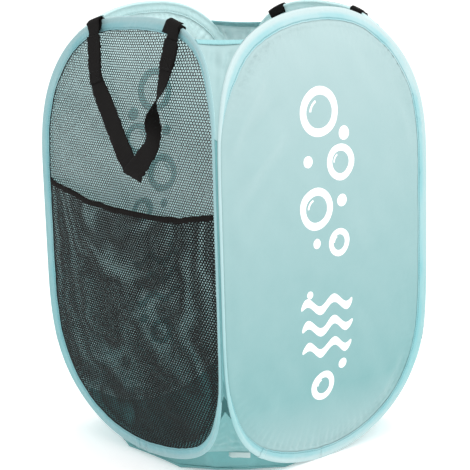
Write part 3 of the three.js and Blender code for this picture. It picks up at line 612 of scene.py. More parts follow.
def casing(side):
    N = 680
    s = (LEN * np.arange(N) / N)[:, None]
    W = band_width(side, s) + 0.25 * waves(s, 90 + 0 * s, 14, 21)
    oa, ia = OUT_A[None, :], IN_A[None, :]
    k = (W - 5) / (CASING_W - 5)
    puff = pucker(side, s, oa) * np.clip(k, 0.15, 1)
    long_crease = 0.30 * waves(s * 0.35, 3.2 * oa, 14, 31) * smooth(oa, 5, 8) * (1 - smooth(oa, 12.5, 14.2))
    oh = OUT_H[None, :] + puff + np.abs(long_crease) * np.clip(k, 0.1, 1)
    oh2 = OUT_H[None, :] + pucker(side, s + 4.7, oa) * np.clip(k, 0.15, 1)
    a_out, a_in = squeeze(oa, W), squeeze(ia, W)
    ih = np.broadcast_to(IN_H[None, :], a_in.shape)
    loop_a = np.concatenate([a_out[:, ::-1], a_out[:, 1:], a_in[:, ::-1], a_in[:, 1:]], 1)
    loop_n = np.concatenate([oh[:, ::-1], -oh2[:, 1:], -ih[:, ::-1], ih[:, 1:]], 1)
    if side == "front":      # creases where the sleeve turns the top corner
        for s1, lean, h in ((505, 0.9, 0.9), (518, 1.5, 1.2), (531, 0.6, 0.7), (474, -0.8, 0.8), (556, 1.2, 0.8)):
            crease = h * np.exp(-((s - s1 - lean * loop_a) / 2.4) ** 2) * smooth(loop_a, 4.5, 8) * (1 - smooth(loop_a, 12.5, 14.2))
            loop_n = loop_n + crease * (loop_n > 1.1)
    g = slim(side, s)
    P = ring_surf(side, s, loop_a * g, loop_n * g)
    across = np.concatenate([-OUT_A[::-1], OUT_A[1:], 40 + IN_A[::-1], 40 - IN_A[1:]])
    uv = np.stack(np.broadcast_arrays(across[None, :], s), -1)
    body = side + "_side"
    nf = len(OUT_A)
    inward = (np.arange(P.shape[1]) >= nf) & (np.arange(P.shape[1]) < 2 * nf - 2)
    # the left hoop's sleeve takes the darker copy of its cloth (painted shade); the inner faces take a paler copy
    # (painted light)
    ob = finish_piece(sweep(side + "_sleeve", P, uv, [M_CASING_PAINTED_SHADE if side == "left" else M_CASING, M_CASING_IN_PAINTED_LIGHT], face_mat=np.tile(inward, N)), body, "casing", side + "_hoop_casing")
    # the spring wire inside, its two ends in the ferrule
    sw = np.linspace(7.0, LEN - 7.0, 640)[:, None]
    th = np.arange(10)[None, :] * 2 * np.pi / 10
    gw = slim(side, sw)
    wire = ring_surf(side, sw, 2.6 * gw + 1.25 * np.cos(th), 1.25 * np.sin(th))
    wuv = np.stack(np.broadcast_arrays(th * 1.25, sw), -1)
    finish_piece(sweep(side + "_spring_wire", wire, wuv, M_STEEL, closed=False), body, "spring_wire", side + "_hoop_wire")
    # a row of stitches on each face, where the sleeve is closed on the panel
    K = int(LEN / 3.4)
    sk = LEN * np.arange(K) / K
    Wk = band_width(side, sk)
    keep = Wk > 7.4
    sk, Wk = sk[keep], Wk[keep]
    a = squeeze(np.full_like(sk, 14.2), Wk)
    V, T, Nn = [], [], []
    for f in (1, -1):
        p = ring_surf(side, sk, a, f * 0.98)
        t = ring_surf(side, sk + 0.6, a, f * 0.98) - ring_surf(side, sk - 0.6, a, f * 0.98)
        up = ring_surf(side, sk, a + 0.5, f * 0.98) - ring_surf(side, sk, a - 0.5, f * 0.98)
        n = np.cross(up, t)
        o = ring_surf(side, sk, a, f * 1.5) - p
        n = n * np.sign(np.sum(n * o, -1, keepdims=True))
        V.append(p), T.append(t), Nn.append(n)
    finish_piece(threads(side + "_sleeve_stitching", np.concatenate(V), np.concatenate(T), np.concatenate(Nn), M_THREAD), body, "casing")
    # the sleeve's own end, folded under and lapped over itself at the bottom
    s0 = {"left": 14.0, "front": LEN - 120.0, "right": 60.0, "back": LEN - 30.0}[side]
    ss = np.linspace(s0, s0 + 9, 8)[:, None]
    Wl = band_width(side, ss)
    la = squeeze(OUT_A[None, :], Wl)
    lift = 0.45 + 0.12 * np.sin(np.linspace(0, np.pi, 8))[:, None]
    top = OUT_H[None, :] + pucker(side, ss, OUT_A[None, :])
    pa = np.concatenate([la[:, ::-1] - 0, la[:, 1:]], 1)
    pn = np.concatenate([top[:, ::-1], -top[:, 1:]], 1)
    edge_out = np.concatenate([OUT_A[::-1], OUT_A[1:]])[None, :]
    outer_a = pa - lift * (1 - smooth(edge_out, 0, 2.2))
    outer_n = pn + np.sign(pn) * lift * smooth(edge_out, 0.0, 1.2)
    Pt, Pb = ring_surf(side, ss, outer_a, outer_n), ring_surf(side, ss, pa, pn * 0.97)
    uvl = np.stack(np.broadcast_arrays(np.concatenate([-OUT_A[::-1], OUT_A[1:]])[None, :], ss + 500), -1)
    # the left hoop's lap takes the darker copy of the sleeve cloth: painted shade
    finish_piece(shell(side + "_sleeve_lap", Pt, Pb, uvl, M_CASING_PAINTED_SHADE if side == "left" else M_CASING), body, "casing")


# ---------------------------------------------------------------- cloth and net sides
def ridge(u, v, p, q, width, height, ends=25.0):
    """A soft fold from point p to point q."""
    du, dv = q[0] - p[0], q[1] - p[1]
    L = math.hypot(du, dv)
    t = ((u - p[0]) * du + (v - p[1]) * dv) / L
    d = (-(u - p[0]) * dv + (v - p[1]) * du) / L
    fade = smooth(t, -ends * 0.3, ends) * (1 - smooth(t, L - ends, L + ends * 0.3))
    return height * np.exp(-(d / width) ** 2) * fade


def panel_lift(side, u, v):
    s = edge_s(u, v)
    d = edge_dist(u, v) - band_width(side, s)
    inside = smooth(d, 0, 26)
    near = np.exp(-np.maximum(d, 0) / 15.0) * smooth(d, 0.0, 6.0)
    seed = {"left": 41, "front": 42, "right": 43, "back": 44}[side]
    k = np.clip(ring(s, RK) / 0.009, 0, 1.2)
    w = 4.0 * waves(s, 0 * s, 70, seed)
    gather = (0.25 + 0.85 * k) * near * np.sin(2 * np.pi * (s + w) / 12.5)
    strip = 0.5 * smooth(d, 0.4, 1.6) * (1 - smooth(d, 4.2, 6.4)) * (1.0 if side in ("front", "back") else 0.0)
    n = gather * 1.5 + strip + inside * (2.2 * waves(u, v, 150, seed + 1) + 0.8 * waves(u + 0.6 * v, 0.5 * v, 62, seed + 2))
    if side == "front":
        n = n + inside * (ridge(u, v, (-172, 415), (-92, 521), 10, 4.8) - ridge(u, v, (-139, 431), (-70, 485), 10, 4.0)
                          + ridge(u, v, (-146, 382), (-69, 443), 11, 4.2) - ridge(u, v, (-150, 345), (-95, 395), 11, 2.4)
                          + ridge(u, v, (120, 470), (150, 400), 10, 3.0) + ridge(u, v, (-150, 150), (-90, 90), 12, 2.6)
                          + ridge(u, v, (95, 60), (140, 130), 11, 2.4))
    if side == "back":
        n = n + inside * (ridge(u, v, (150, 430), (80, 505), 10, 2.6) + ridge(u, v, (-150, 400), (-70, 470), 10, 2.2)
                          + ridge(u, v, (-120, 120), (-60, 60), 11, 1.0) + ridge(u, v, (110, 90), (150, 170), 10, 0.9))
    return n


def fabric_panel(side):
    R, C, L2 = 200, 91, LEN / 2
    e = np.linspace(0, 1, R)
    s = 3 + (L2 - 6) * e
    ins = lambda q: np.maximum(band_width(side, q) - 6.0, 4.4) * slim(side, q)
    ur, vr = ring_uv(side, s, ins(s))
    ul, vl = ring_uv(side, LEN - s, ins(LEN - s))
    t = np.linspace(0, 1, C)[None, :]
    u, v = ul[:, None] + (ur - ul)[:, None] * t, vl[:, None] + (vr - vl)[:, None] * t
    n = panel_lift(side, u, v)
    uv = np.stack([u, v], -1)
    top, bot = place(side, u, v, n + 0.2), place(side, u, v, n - 0.2)
    # inner face: a much paler copy of the cloth, painted light
    ob = finish_piece(shell(side + "_cloth_panel", top, bot, uv, [M_PANEL, M_INSIDE_PAINTED_LIGHT]), side + "_side", "fabric_panel", side + "_fabric_panel")


PITCH, ROW, OPEN = 4.3, 3.2, 0.66


def net(name, side, inside, lift, mat, tilt=0.0, shift=(0.0, 0.0), pitch=PITCH, row=ROW, opening=OPEN, rise=0.28):
    """Open knitted net: a hole in every cell of a staggered lattice, with raised strands between."""
    c, s = math.cos(tilt), math.sin(tilt)
    I, J = np.meshgrid(np.arange(-70, 71), np.arange(-60, 260))
    x = pitch * (I + 0.5 * (J % 2))
    y = row * J
    ok = inside(c * x - s * y + shift[0], s * x + c * y + shift[1])
    cx, cy = x[ok], y[ok]
    hexa = A([(0, 2 / 3), (-0.5, 1 / 3), (-0.5, -1 / 3), (0, -2 / 3), (0.5, -1 / 3), (0.5, 1 / 3)]) * A([pitch, row])
    ox, oy = cx[:, None] + hexa[None, :, 0], cy[:, None] + hexa[None, :, 1]
    key = np.stack([np.round(2 * ox / pitch), np.round(3 * oy / row)], -1).reshape(-1, 2).astype(int)
    uniq, first, inv = np.unique(key, axis=0, return_index=True, return_inverse=True)
    inv = inv.reshape(-1, 6)
    OX, OY = ox.ravel()[first], oy.ravel()[first]
    ix, iy = cx[:, None] + hexa[None, :, 0] * opening, cy[:, None] + hexa[None, :, 1] * opening
    X, Y = np.concatenate([OX, ix.ravel()]), np.concatenate([OY, iy.ravel()])
    X, Y = c * X - s * Y + shift[0], s * X + c * Y + shift[1]
    up = np.concatenate([np.full(len(OX), rise / 2), np.full(ix.size, -rise / 2)])
    P = place(side, X, Y, lift(X, Y) + up)
    o = len(OX) + np.arange(ix.size).reshape(-1, 6)
    nxt = lambda q: np.roll(q, -1, 1)
    quads = np.stack([inv, nxt(inv), nxt(o), o], -1).reshape(-1, 4)
    return mesh(name, P, [quads], np.stack([X, Y], -1), mat)


def net_lift(side, u, v):
    s = edge_s(u, v)
    d = edge_dist(u, v) - band_width(side, s)
    return panel_lift(side, u, v) * 0.55 + smooth(d, 0, 40) * 0.8 * waves(u, v, 190, 55)


def net_panel(side):
    def inside(u, v):
        d = edge_dist(u, v)
        w = band_width(side, edge_s(u, v))
        core = (np.abs(u) < HW) & (v > 2) & (v < H - 2) & (np.abs(u) < half_width(np.clip(v, 1, H - 1)))
        return core & (d > np.maximum(w - 4.5, 5.6) * slim(side, edge_s(u, v)))
    ob = net(side + "_net", side, inside, lambda u, v: net_lift(side, u, v) * smooth(edge_dist(u, v) - band_width(side, edge_s(u, v)), 0, 6), M_NET)
    finish_piece(ob, side + "_side", "mesh", side + "_mesh_panel")
    # the net's dense edge, sewn into the sleeve
    N = 520
    s = (LEN * np.arange(N) / N)[:, None]
    W = band_width(side, s)
    a0, a1 = np.maximum(W - 3.5, 4.2) * slim(side, s), (W + 0.35 + 0.3 * waves(s, 0 * s, 20, 5)) * slim(side, s)
    prof = A([[0, 0.16], [0.3, 0.2], [0.7, 0.2], [0.96, 0.16], [1, 0], [0.96, -0.16], [0.7, -0.2], [0.3, -0.2], [0, -0.16]])
    a = a0 + (a1 - a0) * prof[None, :, 0]
    P = ring_surf(side, s, a, prof[None, :, 1] * 1.1)
    uv = np.stack(np.broadcast_arrays(prof[None, :, 0] * 5, s), -1)
    finish_piece(sweep(side + "_net_selvage", P, uv, M_SELVAGE), side + "_side", "mesh")


def mouth(u):
    return 5.2 * np.exp(-((u - 108) / 34) ** 2) + 349 + 0.028 * (u + 40) - 7.5 * (1 - (u / 165) ** 2) + 6 * np.maximum(0, np.abs(u) - 120) / 45


def pocket_bulge(u, v):
    m = mouth(u)
    e, d = np.clip(1 - (u / 160) ** 2, 0, 1), np.clip((v - 30) / (m - 30), 0, 1)
    return 2.3 + 15.5 * e ** 0.8 * d ** 1.3


def pocket_lift(u, v):
    d = edge_dist(u, v) - band_width("left", edge_s(u, v))
    base = pocket_bulge(u, v) + 0.7 * waves(u, v, 60, 77) * smooth(d, 5, 40)
    return 0.45 + (base - 0.45) * smooth(d, -1, 11)


def pocket():
    def inside(u, v):
        d = edge_dist(u, v)
        w = band_width("left", edge_s(u, v))
        core = (np.abs(u) < half_width(np.clip(v, 1, H - 1))) & (v > 2) & (v < mouth(u) - 1.2)
        return core & (d > np.maximum(w - 3.0, 6.0) * slim("left", edge_s(u, v)))
    # the pocket net's darker yarn is painted shade
    ob = net("pocket_net", "left", inside, pocket_lift, M_POCKET_PAINTED_SHADE, tilt=0.022, shift=(1.1, 0.9), pitch=4.25, row=3.17, opening=0.545)
    finish_piece(ob, "left_side", "pocket_mesh", "pocket_mesh")
    # elastic binding folded over the pocket's mouth
    N = 240
    w = float(half_width(346.0)) - 17.4
    u = np.linspace(-w, w + 2.5, N)[:, None]
    u = np.linspace(-float(half_width(346.0)) + 6.6, w + 2.5, N)[:, None]
    prof = A([[-5.6, 1.05], [-5.3, 1.25], [-4.4, 1.0], [-3.2, 1.35], [-1.2, 1.5], [0.6, 1.35], [1.3, 0.8], [1.5, 0], [1.3, -0.8], [0.6, -1.35],
              [-1.2, -1.5], [-3.2, -1.35], [-4.4, -1.0], [-5.3, -1.25], [-5.6, -1.05]])
    hump = 0.35 * np.sin(2 * np.pi * u / 6.5 + 2 * waves(u, 0 * u, 40, 9)) * (0.6 + 0.4 * waves(u, 0 * u, 30, 8))
    v = mouth(u) + prof[None, :, 0] + 0.35 * waves(u, 0 * u, 25, 6)
    d = edge_dist(u, v) - band_width("left", edge_s(u, v))
    base = pocket_lift(u, np.minimum(v, mouth(u)))
    thick = 0.35 + 0.65 * smooth(d, -1.0, 5)
    n = base + (prof[None, :, 1] + np.sign(prof[None, :, 1]) * hump * (np.abs(prof[None, :, 1]) > 1.1)) * thick
    P = place("left", u, v, n)
    uv = np.stack(np.broadcast_arrays(prof[None, :, 0] + 6 * (prof[None, :, 1] < 0), u), -1)
    finish_piece(sweep("pocket_elastic", P, uv, M_ELASTIC, closed=False), "left_side", "elastic", "pocket_binding")
    uk = np.arange(-150, 150, 3.3)
    for f, nm in ((1, "pocket_elastic_stitching"),):
        g = lambda q: place("left", q, mouth(q) - 4.4, pocket_lift(q, mouth(q) - 4.4) + f * 1.1)
        p, t = g(uk), g(uk + 0.5) - g(uk - 0.5)
        finish_piece(threads(nm, p, t, np.tile([-1.0, 0, 0], (len(uk), 1)) * f, M_WEBTHREAD), "left_side", "elastic")


# ---------------------------------------------------------------- generic print: bubbles and waves
def print_shapes():
    """Lists of (u, v) grids (rows, columns) of each white shape, in millimetres."""
    out = []

    def annulus(c, r0, r1, a0=0.0, a1=2 * np.pi):
        k = max(24, int((a1 - a0) * r1 / 1.6))
        th = np.linspace(a0, a1, k)
        rr = np.linspace(r0, r1, 7)[:, None]
        out.append((c[0] + rr * np.cos(th), c[1] + rr * np.sin(th), abs(a1 - a0 - 2 * np.pi) < 1e-6))

    for c, R, w in (((-13, 458), 31, 10.5), ((20, 392), 23, 9), ((-22, 338), 27, 10), ((17, 290), 18, 8), ((-10, 106), 20, 9)):
        annulus(c, R - w, R)
        annulus(c, R * 0.42, R * 0.52, 2.0, 3.1)
    for c, R in (((27, 428), 9), ((-33, 398), 7.5), ((20, 344), 8), ((-22, 294), 6.5), ((22, 130), 7), ((-34, 262 - 32), 5)):
        annulus(c, 0.4, R)
    for v0 in (214, 186, 158):
        u = np.linspace(-50, 36, 80)[None, :]
        mid = v0 + 6.5 * np.sin(2 * np.pi * (u + 50) / 43)
        half = 5.6 * np.sqrt(np.clip(1 - (np.abs(u + 7) / 43.3) ** 10, 0.02, 1))
        t = np.linspace(-1, 1, 7)[:, None]
        out.append((u + 0 * t, mid + t * half, False))
    return out


def prints(side, inner=False):
    verts, faces, uvs, o = [], [], [], 0
    sgn = -1.0 if side == "back" else 1.0
    for U, V, loop in print_shapes():
        U, V = np.broadcast_arrays(U, V)
        U = sgn * (U + 4) - sgn * 4
        if loop:
            U, V = U[:, :-1], V[:, :-1]
        R, C = U.shape
        base = panel_lift(side, U, V)
        # on the inner face the shapes sit under the cloth: a painted shadow of the ink
        lo, hi = (0.21, 0.33) if not inner else (-0.21, -0.30)
        for k in (lo, hi):
            verts.append(place(side, U, V, base + k).reshape(-1, 3))
            uvs.append(np.stack([U, V], -1).reshape(-1, 2))
        cc = C if loop else C - 1
        r, c = np.meshgrid(np.arange(R - 1), np.arange(cc), indexing="ij")
        idx = lambda rr, c2: o + rr * C + c2 % C
        q = np.stack([idx(r, c), idx(r, c + 1), idx(r + 1, c + 1), idx(r + 1, c)], -1).reshape(-1, 4)
        K = R * C
        faces += [q[:, ::-1], q + K]
        j = np.arange(cc)
        e0, e1 = o + j % C, o + (j + 1) % C
        f0, f1 = o + (R - 1) * C + j % C, o + (R - 1) * C + (j + 1) % C
        faces += [np.stack([e0, e1, e1 + K, e0 + K], 1), np.stack([f1, f0, f0 + K, f1 + K], 1)]
        if not loop:
            i = np.arange(R - 1)
            a0, a1 = o + i * C, o + (i + 1) * C
            b0, b1 = o + i * C + C - 1, o + (i + 1) * C + C - 1
            faces += [np.stack([a1, a0, a0 + K, a1 + K], 1), np.stack([b0, b1, b1 + K, b0 + K], 1)]
        o += 2 * K
    name = side + ("_print_painted_shadow_inside" if inner else "_print")
    ob = mesh(name, np.concatenate(verts), faces, np.concatenate(uvs), M_INK_PAINTED_SHADOW if inner else M_PRINT)
    flip_out(ob)
    finish_piece(ob, side + "_side", "fabric_panel")


def flip_out(ob):
    import bmesh
    bm = bmesh.new()
    bm.from_mesh(ob.data)
    bmesh.ops.recalc_face_normals(bm, faces=bm.faces)
    bm.to_mesh(ob.data)
    bm.free()


# ---------------------------------------------------------------- corners
DIAG = {"front_left": (-1, -1), "back_left": (-1, 1), "front_right": (1, -1), "back_right": (1, 1)}


def join(ob):
    """Bakes a piece's placement into its mesh."""
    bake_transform(ob)


def corner_grid(c, za, zb, t, dish, tuck=1.4, extra=0.0):
    name, a, sa, b, sb = c
    za, zb, t = A(za), A(zb), A(t)
    P = place(a, sa * (half_width(za) + 0.6 - tuck), za)
    Q = place(b, sb * (half_width(zb) + 0.6 - tuck), zb)
    ch = Q - P
    n = np.stack([ch[..., 1], -ch[..., 0], 0 * ch[..., 0]], -1)
    n = unit(n)
    n = n * np.sign(n[..., :1] * P[..., :1] + n[..., 1:2] * P[..., 1:2])
    ln = np.linalg.norm(ch, axis=-1)
    t3 = t[..., None]
    sag = (-dish * ln * 4 * t * (1 - t) + extra)[..., None]
    return P + ch * t3 + n * sag, n, ln


def gusset(c, upper):
    name = c[0]
    seed = {"front_left": 61, "back_left": 62, "front_right": 63, "back_right": 64}[name]
    R, C = (46, 33)
    q = np.linspace(0, 1, R)[:, None]
    t = np.linspace(0, 1, C)[None, :]
    if upper:
        ta, tb = GUSSET_TOP[name]
        za, zb = 438 + (ta - 438) * q, 438 + (tb - 438) * q
        dish = (0.055 + 0.04 * q) if name == "front_left" else (0.03 + 0.02 * q)
    else:
        # under the open slit the cloth rises to a point between the two sleeves
        tip = 99.0 + 12 * (1 - np.abs(2 * t - 1)) if name == "front_left" else LOW_TIP + 4
        za = zb = tip + (LOW_SEAM - 2 - tip) * q
        dish = 0.02 + 0.03 * q
    za, zb = za + 0 * t, zb + 0 * t
    _, _, ln = corner_grid(c, za, zb, t + 0 * q, dish)
    x = (t - 0.5) * ln
    free = smooth(ln, 8, 30) * smooth(np.minimum(t, 1 - t) * ln, 0.5, 6)
    fold = (0.9 * np.sin(2 * np.pi * (x / 15.5 + 0.25 * q) + seed) * (0.5 + 0.5 * q)
            + 0.8 * waves(x, 90 * q, 26, seed) + 0.5 * waves(x, 60 * q, 13, seed + 9))
    cross = -0.8 * np.exp(-((q - 0.875) / 0.02) ** 2) * (1 if upper else 0.4)
    under = 1 - smooth(q, 0.86, 0.94) if upper else 1 - smooth(q, 0.72, 0.97)
    extra = free * ((1.9 if name == "front_left" else 1.25) * fold + cross * 2.0) * under
    P, n, _ = corner_grid(c, za, zb, t + 0 * q, dish, extra=extra)
    uv = np.stack([x, za], -1)
    nm = name + ("_upper_cloth" if upper else "_lower_cloth")
    # lower gussets take a darker copy of the cloth (painted shade); the inner faces a paler copy (painted light)
    ob = shell(nm, P + n * 0.22, P - n * 0.22, uv, [M_CLOTH if upper else M_GUSSET_LOW_PAINTED_SHADE, M_GUSSET_IN_PAINTED_LIGHT])
    flip_out(ob)
    join(ob)
    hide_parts(name + ("_upper_gusset" if upper else "_lower_gusset"))


def hem(c):
    name = c[0]
    ta, tb = GUSSET_TOP[name]
    T = np.linspace(0.015, 0.985, 60)[:, None]
    outer = A([[8.6, 0.9], [8.3, 1.0], [7.2, 0.8], [6.0, 1.05], [3.5, 1.2], [1.4, 1.2], [0.5, 0.95], [0.12, 0.5], [0, 0]])
    inner = A([[0.45, 0], [0.8, 0.55], [3.5, 0.7], [8.4, 0.55]])
    ax = np.concatenate([outer[:, 0], outer[-2::-1, 0], inner[::-1, 0], inner[1:, 0]])
    an = np.concatenate([outer[:, 1], -outer[-2::-1, 1], -inner[::-1, 1], inner[1:, 1]])
    sagz = -1.3 * 4 * T * (1 - T)
    m, n, ln = corner_grid(c, ta + 0 * T, tb + 0 * T, T, 0.05)
    low, _, _ = corner_grid(c, ta - 6 + 0 * T, tb - 6 + 0 * T, T, 0.05)
    up = unit(m - low)
    ch = unit(corner_grid(c, ta + 0 * T, tb + 0 * T, T + 0.01, 0.05)[0] - corner_grid(c, ta + 0 * T, tb + 0 * T, T - 0.01, 0.05)[0])
    r = unit(np.cross(ch, up))
    r = r * np.sign(np.sum(r * n, -1, keepdims=True))
    ripple = 0.16 * np.sin(2 * np.pi * T * ln / 7.0) + 0.12 * waves(T * ln, 0 * T, 11, 5)
    x = (1.6 - ax)[None, :]
    k = an[None, :] * (1 + 0 * T) + np.sign(an)[None, :] * ripple * (np.abs(an)[None, :] > 1.0)
    P = m + up * (x[..., None] + 0 * sagz[..., None]) + r * k[..., None]
    P[..., 2] += sagz * np.clip(ln / 90, 0.3, 1)
    P = P if P.ndim == 3 else P.reshape(60, -1, 3)
    uv = np.stack(np.broadcast_arrays(ax[None, :], T * ln + 0 * ax[None, :]), -1)
    nO, nI = len(outer), len(inner)
    M = len(ax)
    ob = sweep_channel(name + "_hem_binding", P, uv, M_HEM, nO, nI)
    flip_out(ob)
    join(ob)
    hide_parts(name + "_gusset_hem")
    # stitches along the hem
    L = float(ln.mean())
    K = max(6, int(L * 0.9 / 3.3))
    Tk = np.linspace(0.06, 0.94, K)[:, None]
    mk, nk, _ = corner_grid(c, ta + 0 * Tk, tb + 0 * Tk, Tk, 0.05)
    lk, _, _ = corner_grid(c, ta - 6 + 0 * Tk, tb - 6 + 0 * Tk, Tk, 0.05)
    upk = unit(mk - lk)
    chk = unit(np.gradient(mk[:, 0], axis=0))
    rk = unit(np.cross(chk, upk[:, 0]))
    rk = rk * np.sign(np.sum(rk * nk[:, 0], -1, keepdims=True))
    base = mk[:, 0] + upk[:, 0] * (1.6 - 7.2)
    base[:, 2] += (-1.3 * 4 * Tk * (1 - Tk))[:, 0] * min(max(L / 90, 0.3), 1)
    st = threads(name + "_hem_stitching", np.concatenate([base + rk * 0.86, base - rk * 0.86]), np.concatenate([chk, chk]), np.concatenate([rk, -rk]), M_THREAD)
    join(st)


def sweep_channel(name, P, uv, mats, nO, nI):
    """A run of channel sections, with its ends closed between outer and inner walls."""
    N, M = P.shape[:2]
    i, j = np.arange(N - 1)[:, None], np.arange(M)[None, :]
    a, b = i * M + j, i * M + (j + 1) % M
    c, d = (i + 1) * M + (j + 1) % M, (i + 1) * M + j
    faces = [np.stack([a, d, c, b], -1).reshape(-1, 4)]
    outer = list(range(2 * nO - 1))
    inner = list(range(M - 1, 2 * nO - 2, -1))
    tris = []
    p, q = 0, 0
    while p < len(outer) - 1 or q < len(inner) - 1:
        if q >= len(inner) - 1 or (p < len(outer) - 1 and (p + 1) / (len(outer) - 1) <= (q + 1) / (len(inner) - 1)):
            tris.append([outer[p], outer[p + 1], inner[q]])
            p += 1
        else:
            tris.append([outer[p], inner[q + 1], inner[q]])
            q += 1
    tris = np.array(tris)
    faces += [tris, tris[:, ::-1] + (N - 1) * M]
    return mesh(name, P.reshape(-1, 3), faces, uv.reshape(-1, 2), mats)


def corner_seam(c):
    name, a, sa, b, sb = c
    low = 124.0 if name == "front_left" else SEAM_LOW - 3
    z = np.linspace(low, SEAM_HIGH + 1, 120)[:, None]
    P, Q = place(a, sa * (half_width(z) + 0.6), z), place(b, sb * (half_width(z) + 0.6), z)
    ch = unit(Q - P)
    m = (P + Q) / 2
    r = unit(np.stack([ch[..., 1], -ch[..., 0], 0 * ch[..., 0]], -1))
    r = r * np.sign(np.sum(r[..., :2] * m[..., :2], -1, keepdims=True))
    # a narrow web that reaches into both sleeves, with the sewn ridge along its middle
    half = np.linalg.norm(Q - P, axis=-1) / 2 + 0.35
    x = np.concatenate([np.linspace(-1, 1, 13), np.linspace(1, -1, 13)[1:-1]])[None, :] * half
    face = np.concatenate([np.ones(13), -np.ones(11)])[None, :]
    wob = 0.10 * waves(z, 0 * z, 9, 17) + 0.12 * np.sin(2 * np.pi * z / 6.2)
    ridge_ = np.exp(-((x + 0.35 * waves(z, 0 * z, 40, 23)) / 0.9) ** 2)
    ends = smooth(z, low, low + 25) * (1 - smooth(z, SEAM_HIGH - 24, SEAM_HIGH + 1))
    thick = 0.22 + (0.55 + wob) * ridge_ * (0.3 + 0.7 * ends)
    tuck = -1.3 * (1 - (x / half) ** 2)
    X = m[:, :1] + r[:, :1] * (face * thick + tuck)[..., None] + ch[:, :1] * x[..., None]
    # the open slit below the seam runs up to a point
    X[..., 2] += 15 * np.clip(1 - np.abs(x / half), 0, 1) * (1 - smooth(z, low, low + 42))
    uv = np.stack(np.broadcast_arrays(x + 8 * (face < 0), z), -1)
    # the seam tape's darker cloth is painted shade
    ob = sweep(name + "_seam_tape", X, uv, M_SEAM_PAINTED_SHADE, closed=False)
    flip_out(ob)
    join(ob)
    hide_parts(name + "_corner_seam")


# ---------------------------------------------------------------- floor cloth
def rim_points(corner):
    """The floor cloth's edge from the middle of one side round a corner to the middle of the next."""
    c = next(x for x in CORNERS if x[0] == corner)
    _, a, sa, b, sb = c
    hw = float(half_width(LOW_SEAM)) - 5.0
    u = hw * (1 - (1 - np.linspace(0, 1, 56)) ** 1.35)
    fade = smooth(u, hw - 14, hw)
    one = place(a, sa * u, low_outline(u) + 7, -3.6 + 2.6 * fade)
    two = place(b, sb * u, low_outline(u) + 7, -3.6 + 2.6 * fade)
    t = np.linspace(0.06, 0.94, 26)
    mid, n, _ = corner_grid(c, LOW_SEAM + 0 * t, LOW_SEAM + 0 * t, t, 0.05)
    mid = mid - n * 0.7
    return np.concatenate([one, mid, two[::-1]])


def floor_levels(p, t):
    r = np.hypot(p[:, 0], p[:, 1])
    ang = np.arctan2(p[:, 1], p[:, 0])
    diag = np.abs(np.sin(2 * ang))
    rf = np.minimum(r - 7, FLOOR_R + (1 - diag) * 40 - 6)
    q = rf[:, None] + (r - rf)[:, None] * t[None, :]
    z = p[:, 2:3] * t[None, :] ** 2
    return ang, rf, q, z


def floor_corner(corner):
    p = rim_points(corner)
    t = np.linspace(1, 0.44, 18)
    ang, rf, q, z = floor_levels(p, t)
    r = np.hypot(p[:, 0], p[:, 1])
    seed = {"front_left": 81, "back_left": 82, "front_right": 83, "back_right": 84}[corner]
    arc = np.concatenate([[0], np.cumsum(np.linalg.norm(np.diff(p, axis=0), axis=1))])[:, None]
    tt = np.clip(t, 0, 1)[None, :]
    span = np.clip((r - rf)[:, None] / 40, 0, 1)
    crumple = (0.9 * np.sin(2 * np.pi * (arc + 9 * tt) / 17 + seed) + 1.1 * waves(arc, 40 * tt, 30, seed)) * 4 * tt * (1 - tt) * span * smooth(tt, 0.5, 0.7)
    z = np.maximum(z + crumple * 0.8, 0.12) + 1.35 * (1 - smooth(tt, 0.5, 0.8))
    q = q + 0.7 * crumple
    P = np.stack([np.cos(ang)[:, None] * q, np.sin(ang)[:, None] * q, z], -1)
    top = P + A([0, 0, 0.42])
    uv = np.stack([np.cos(ang)[:, None] * (q + z), np.sin(ang)[:, None] * (q + z)], -1)
    ob = shell(corner + "_floor_edge", top, P, uv, M_FLOORCLOTH_PAINTED_SHADE)
    flip_out(ob)
    join(ob)
    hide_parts("bottom_panel")


FLAPS = {"left": ("left_side", "front_fold", (-1, 0), 0.16), "front": ("front_side", "front_fold", (0, -1), 0.62),
         "right": ("right_side", "right_fold", (1, 0), 0.16), "back": ("back_side", "back_fold", (0, 1), 0.62)}


def floor_flap(side):
    body, joint, d, z0 = FLAPS[side]
    base = math.atan2(d[1], d[0])
    ang = base + np.linspace(-1, 1, 61) * (math.pi / 4 + 0.012)
    allp = np.concatenate([rim_points(k) for k in DIAG])
    aa = np.arctan2(allp[:, 1], allp[:, 0])
    order = np.argsort(aa)
    rr = np.hypot(allp[:, 0], allp[:, 1])[order]
    aa = aa[order]
    r = np.interp(np.mod(ang + np.pi, 2 * np.pi) - np.pi, aa, rr, period=2 * np.pi)
    hz = np.interp(np.mod(ang + np.pi, 2 * np.pi) - np.pi, aa, allp[:, 2][order], period=2 * np.pi)
    diag = np.abs(np.sin(2 * ang))
    rf = np.minimum(r - 7, FLOOR_R + (1 - diag) * 40 - 6)
    k = np.linspace(0.004, 1.0, 42)[None, :]
    t = np.linspace(0.05, 0.49, 10)[None, :]
    q = np.concatenate([rf[:, None] * k, rf[:, None] + (r - rf)[:, None] * t], 1)
    x, y = np.cos(ang)[:, None] * q, np.sin(ang)[:, None] * q
    lift = np.concatenate([0 * rf[:, None] * k, hz[:, None] * t ** 2], 1)
    z = np.clip(z0 + 0.14 + 0.12 * waves(x, y, 60, 91), z0, z0 + 0.3) + lift
    P = np.stack([x, y, z], -1)
    uv = np.stack([x, y], -1)
    ob = shell(side + "_floor_panel", P + A([0, 0, 0.3]), P, uv, M_FLOORCLOTH_PAINTED_SHADE)
    flip_out(ob)
    finish_piece(ob, body, "fabric", "bottom_panel")
    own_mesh(ob)


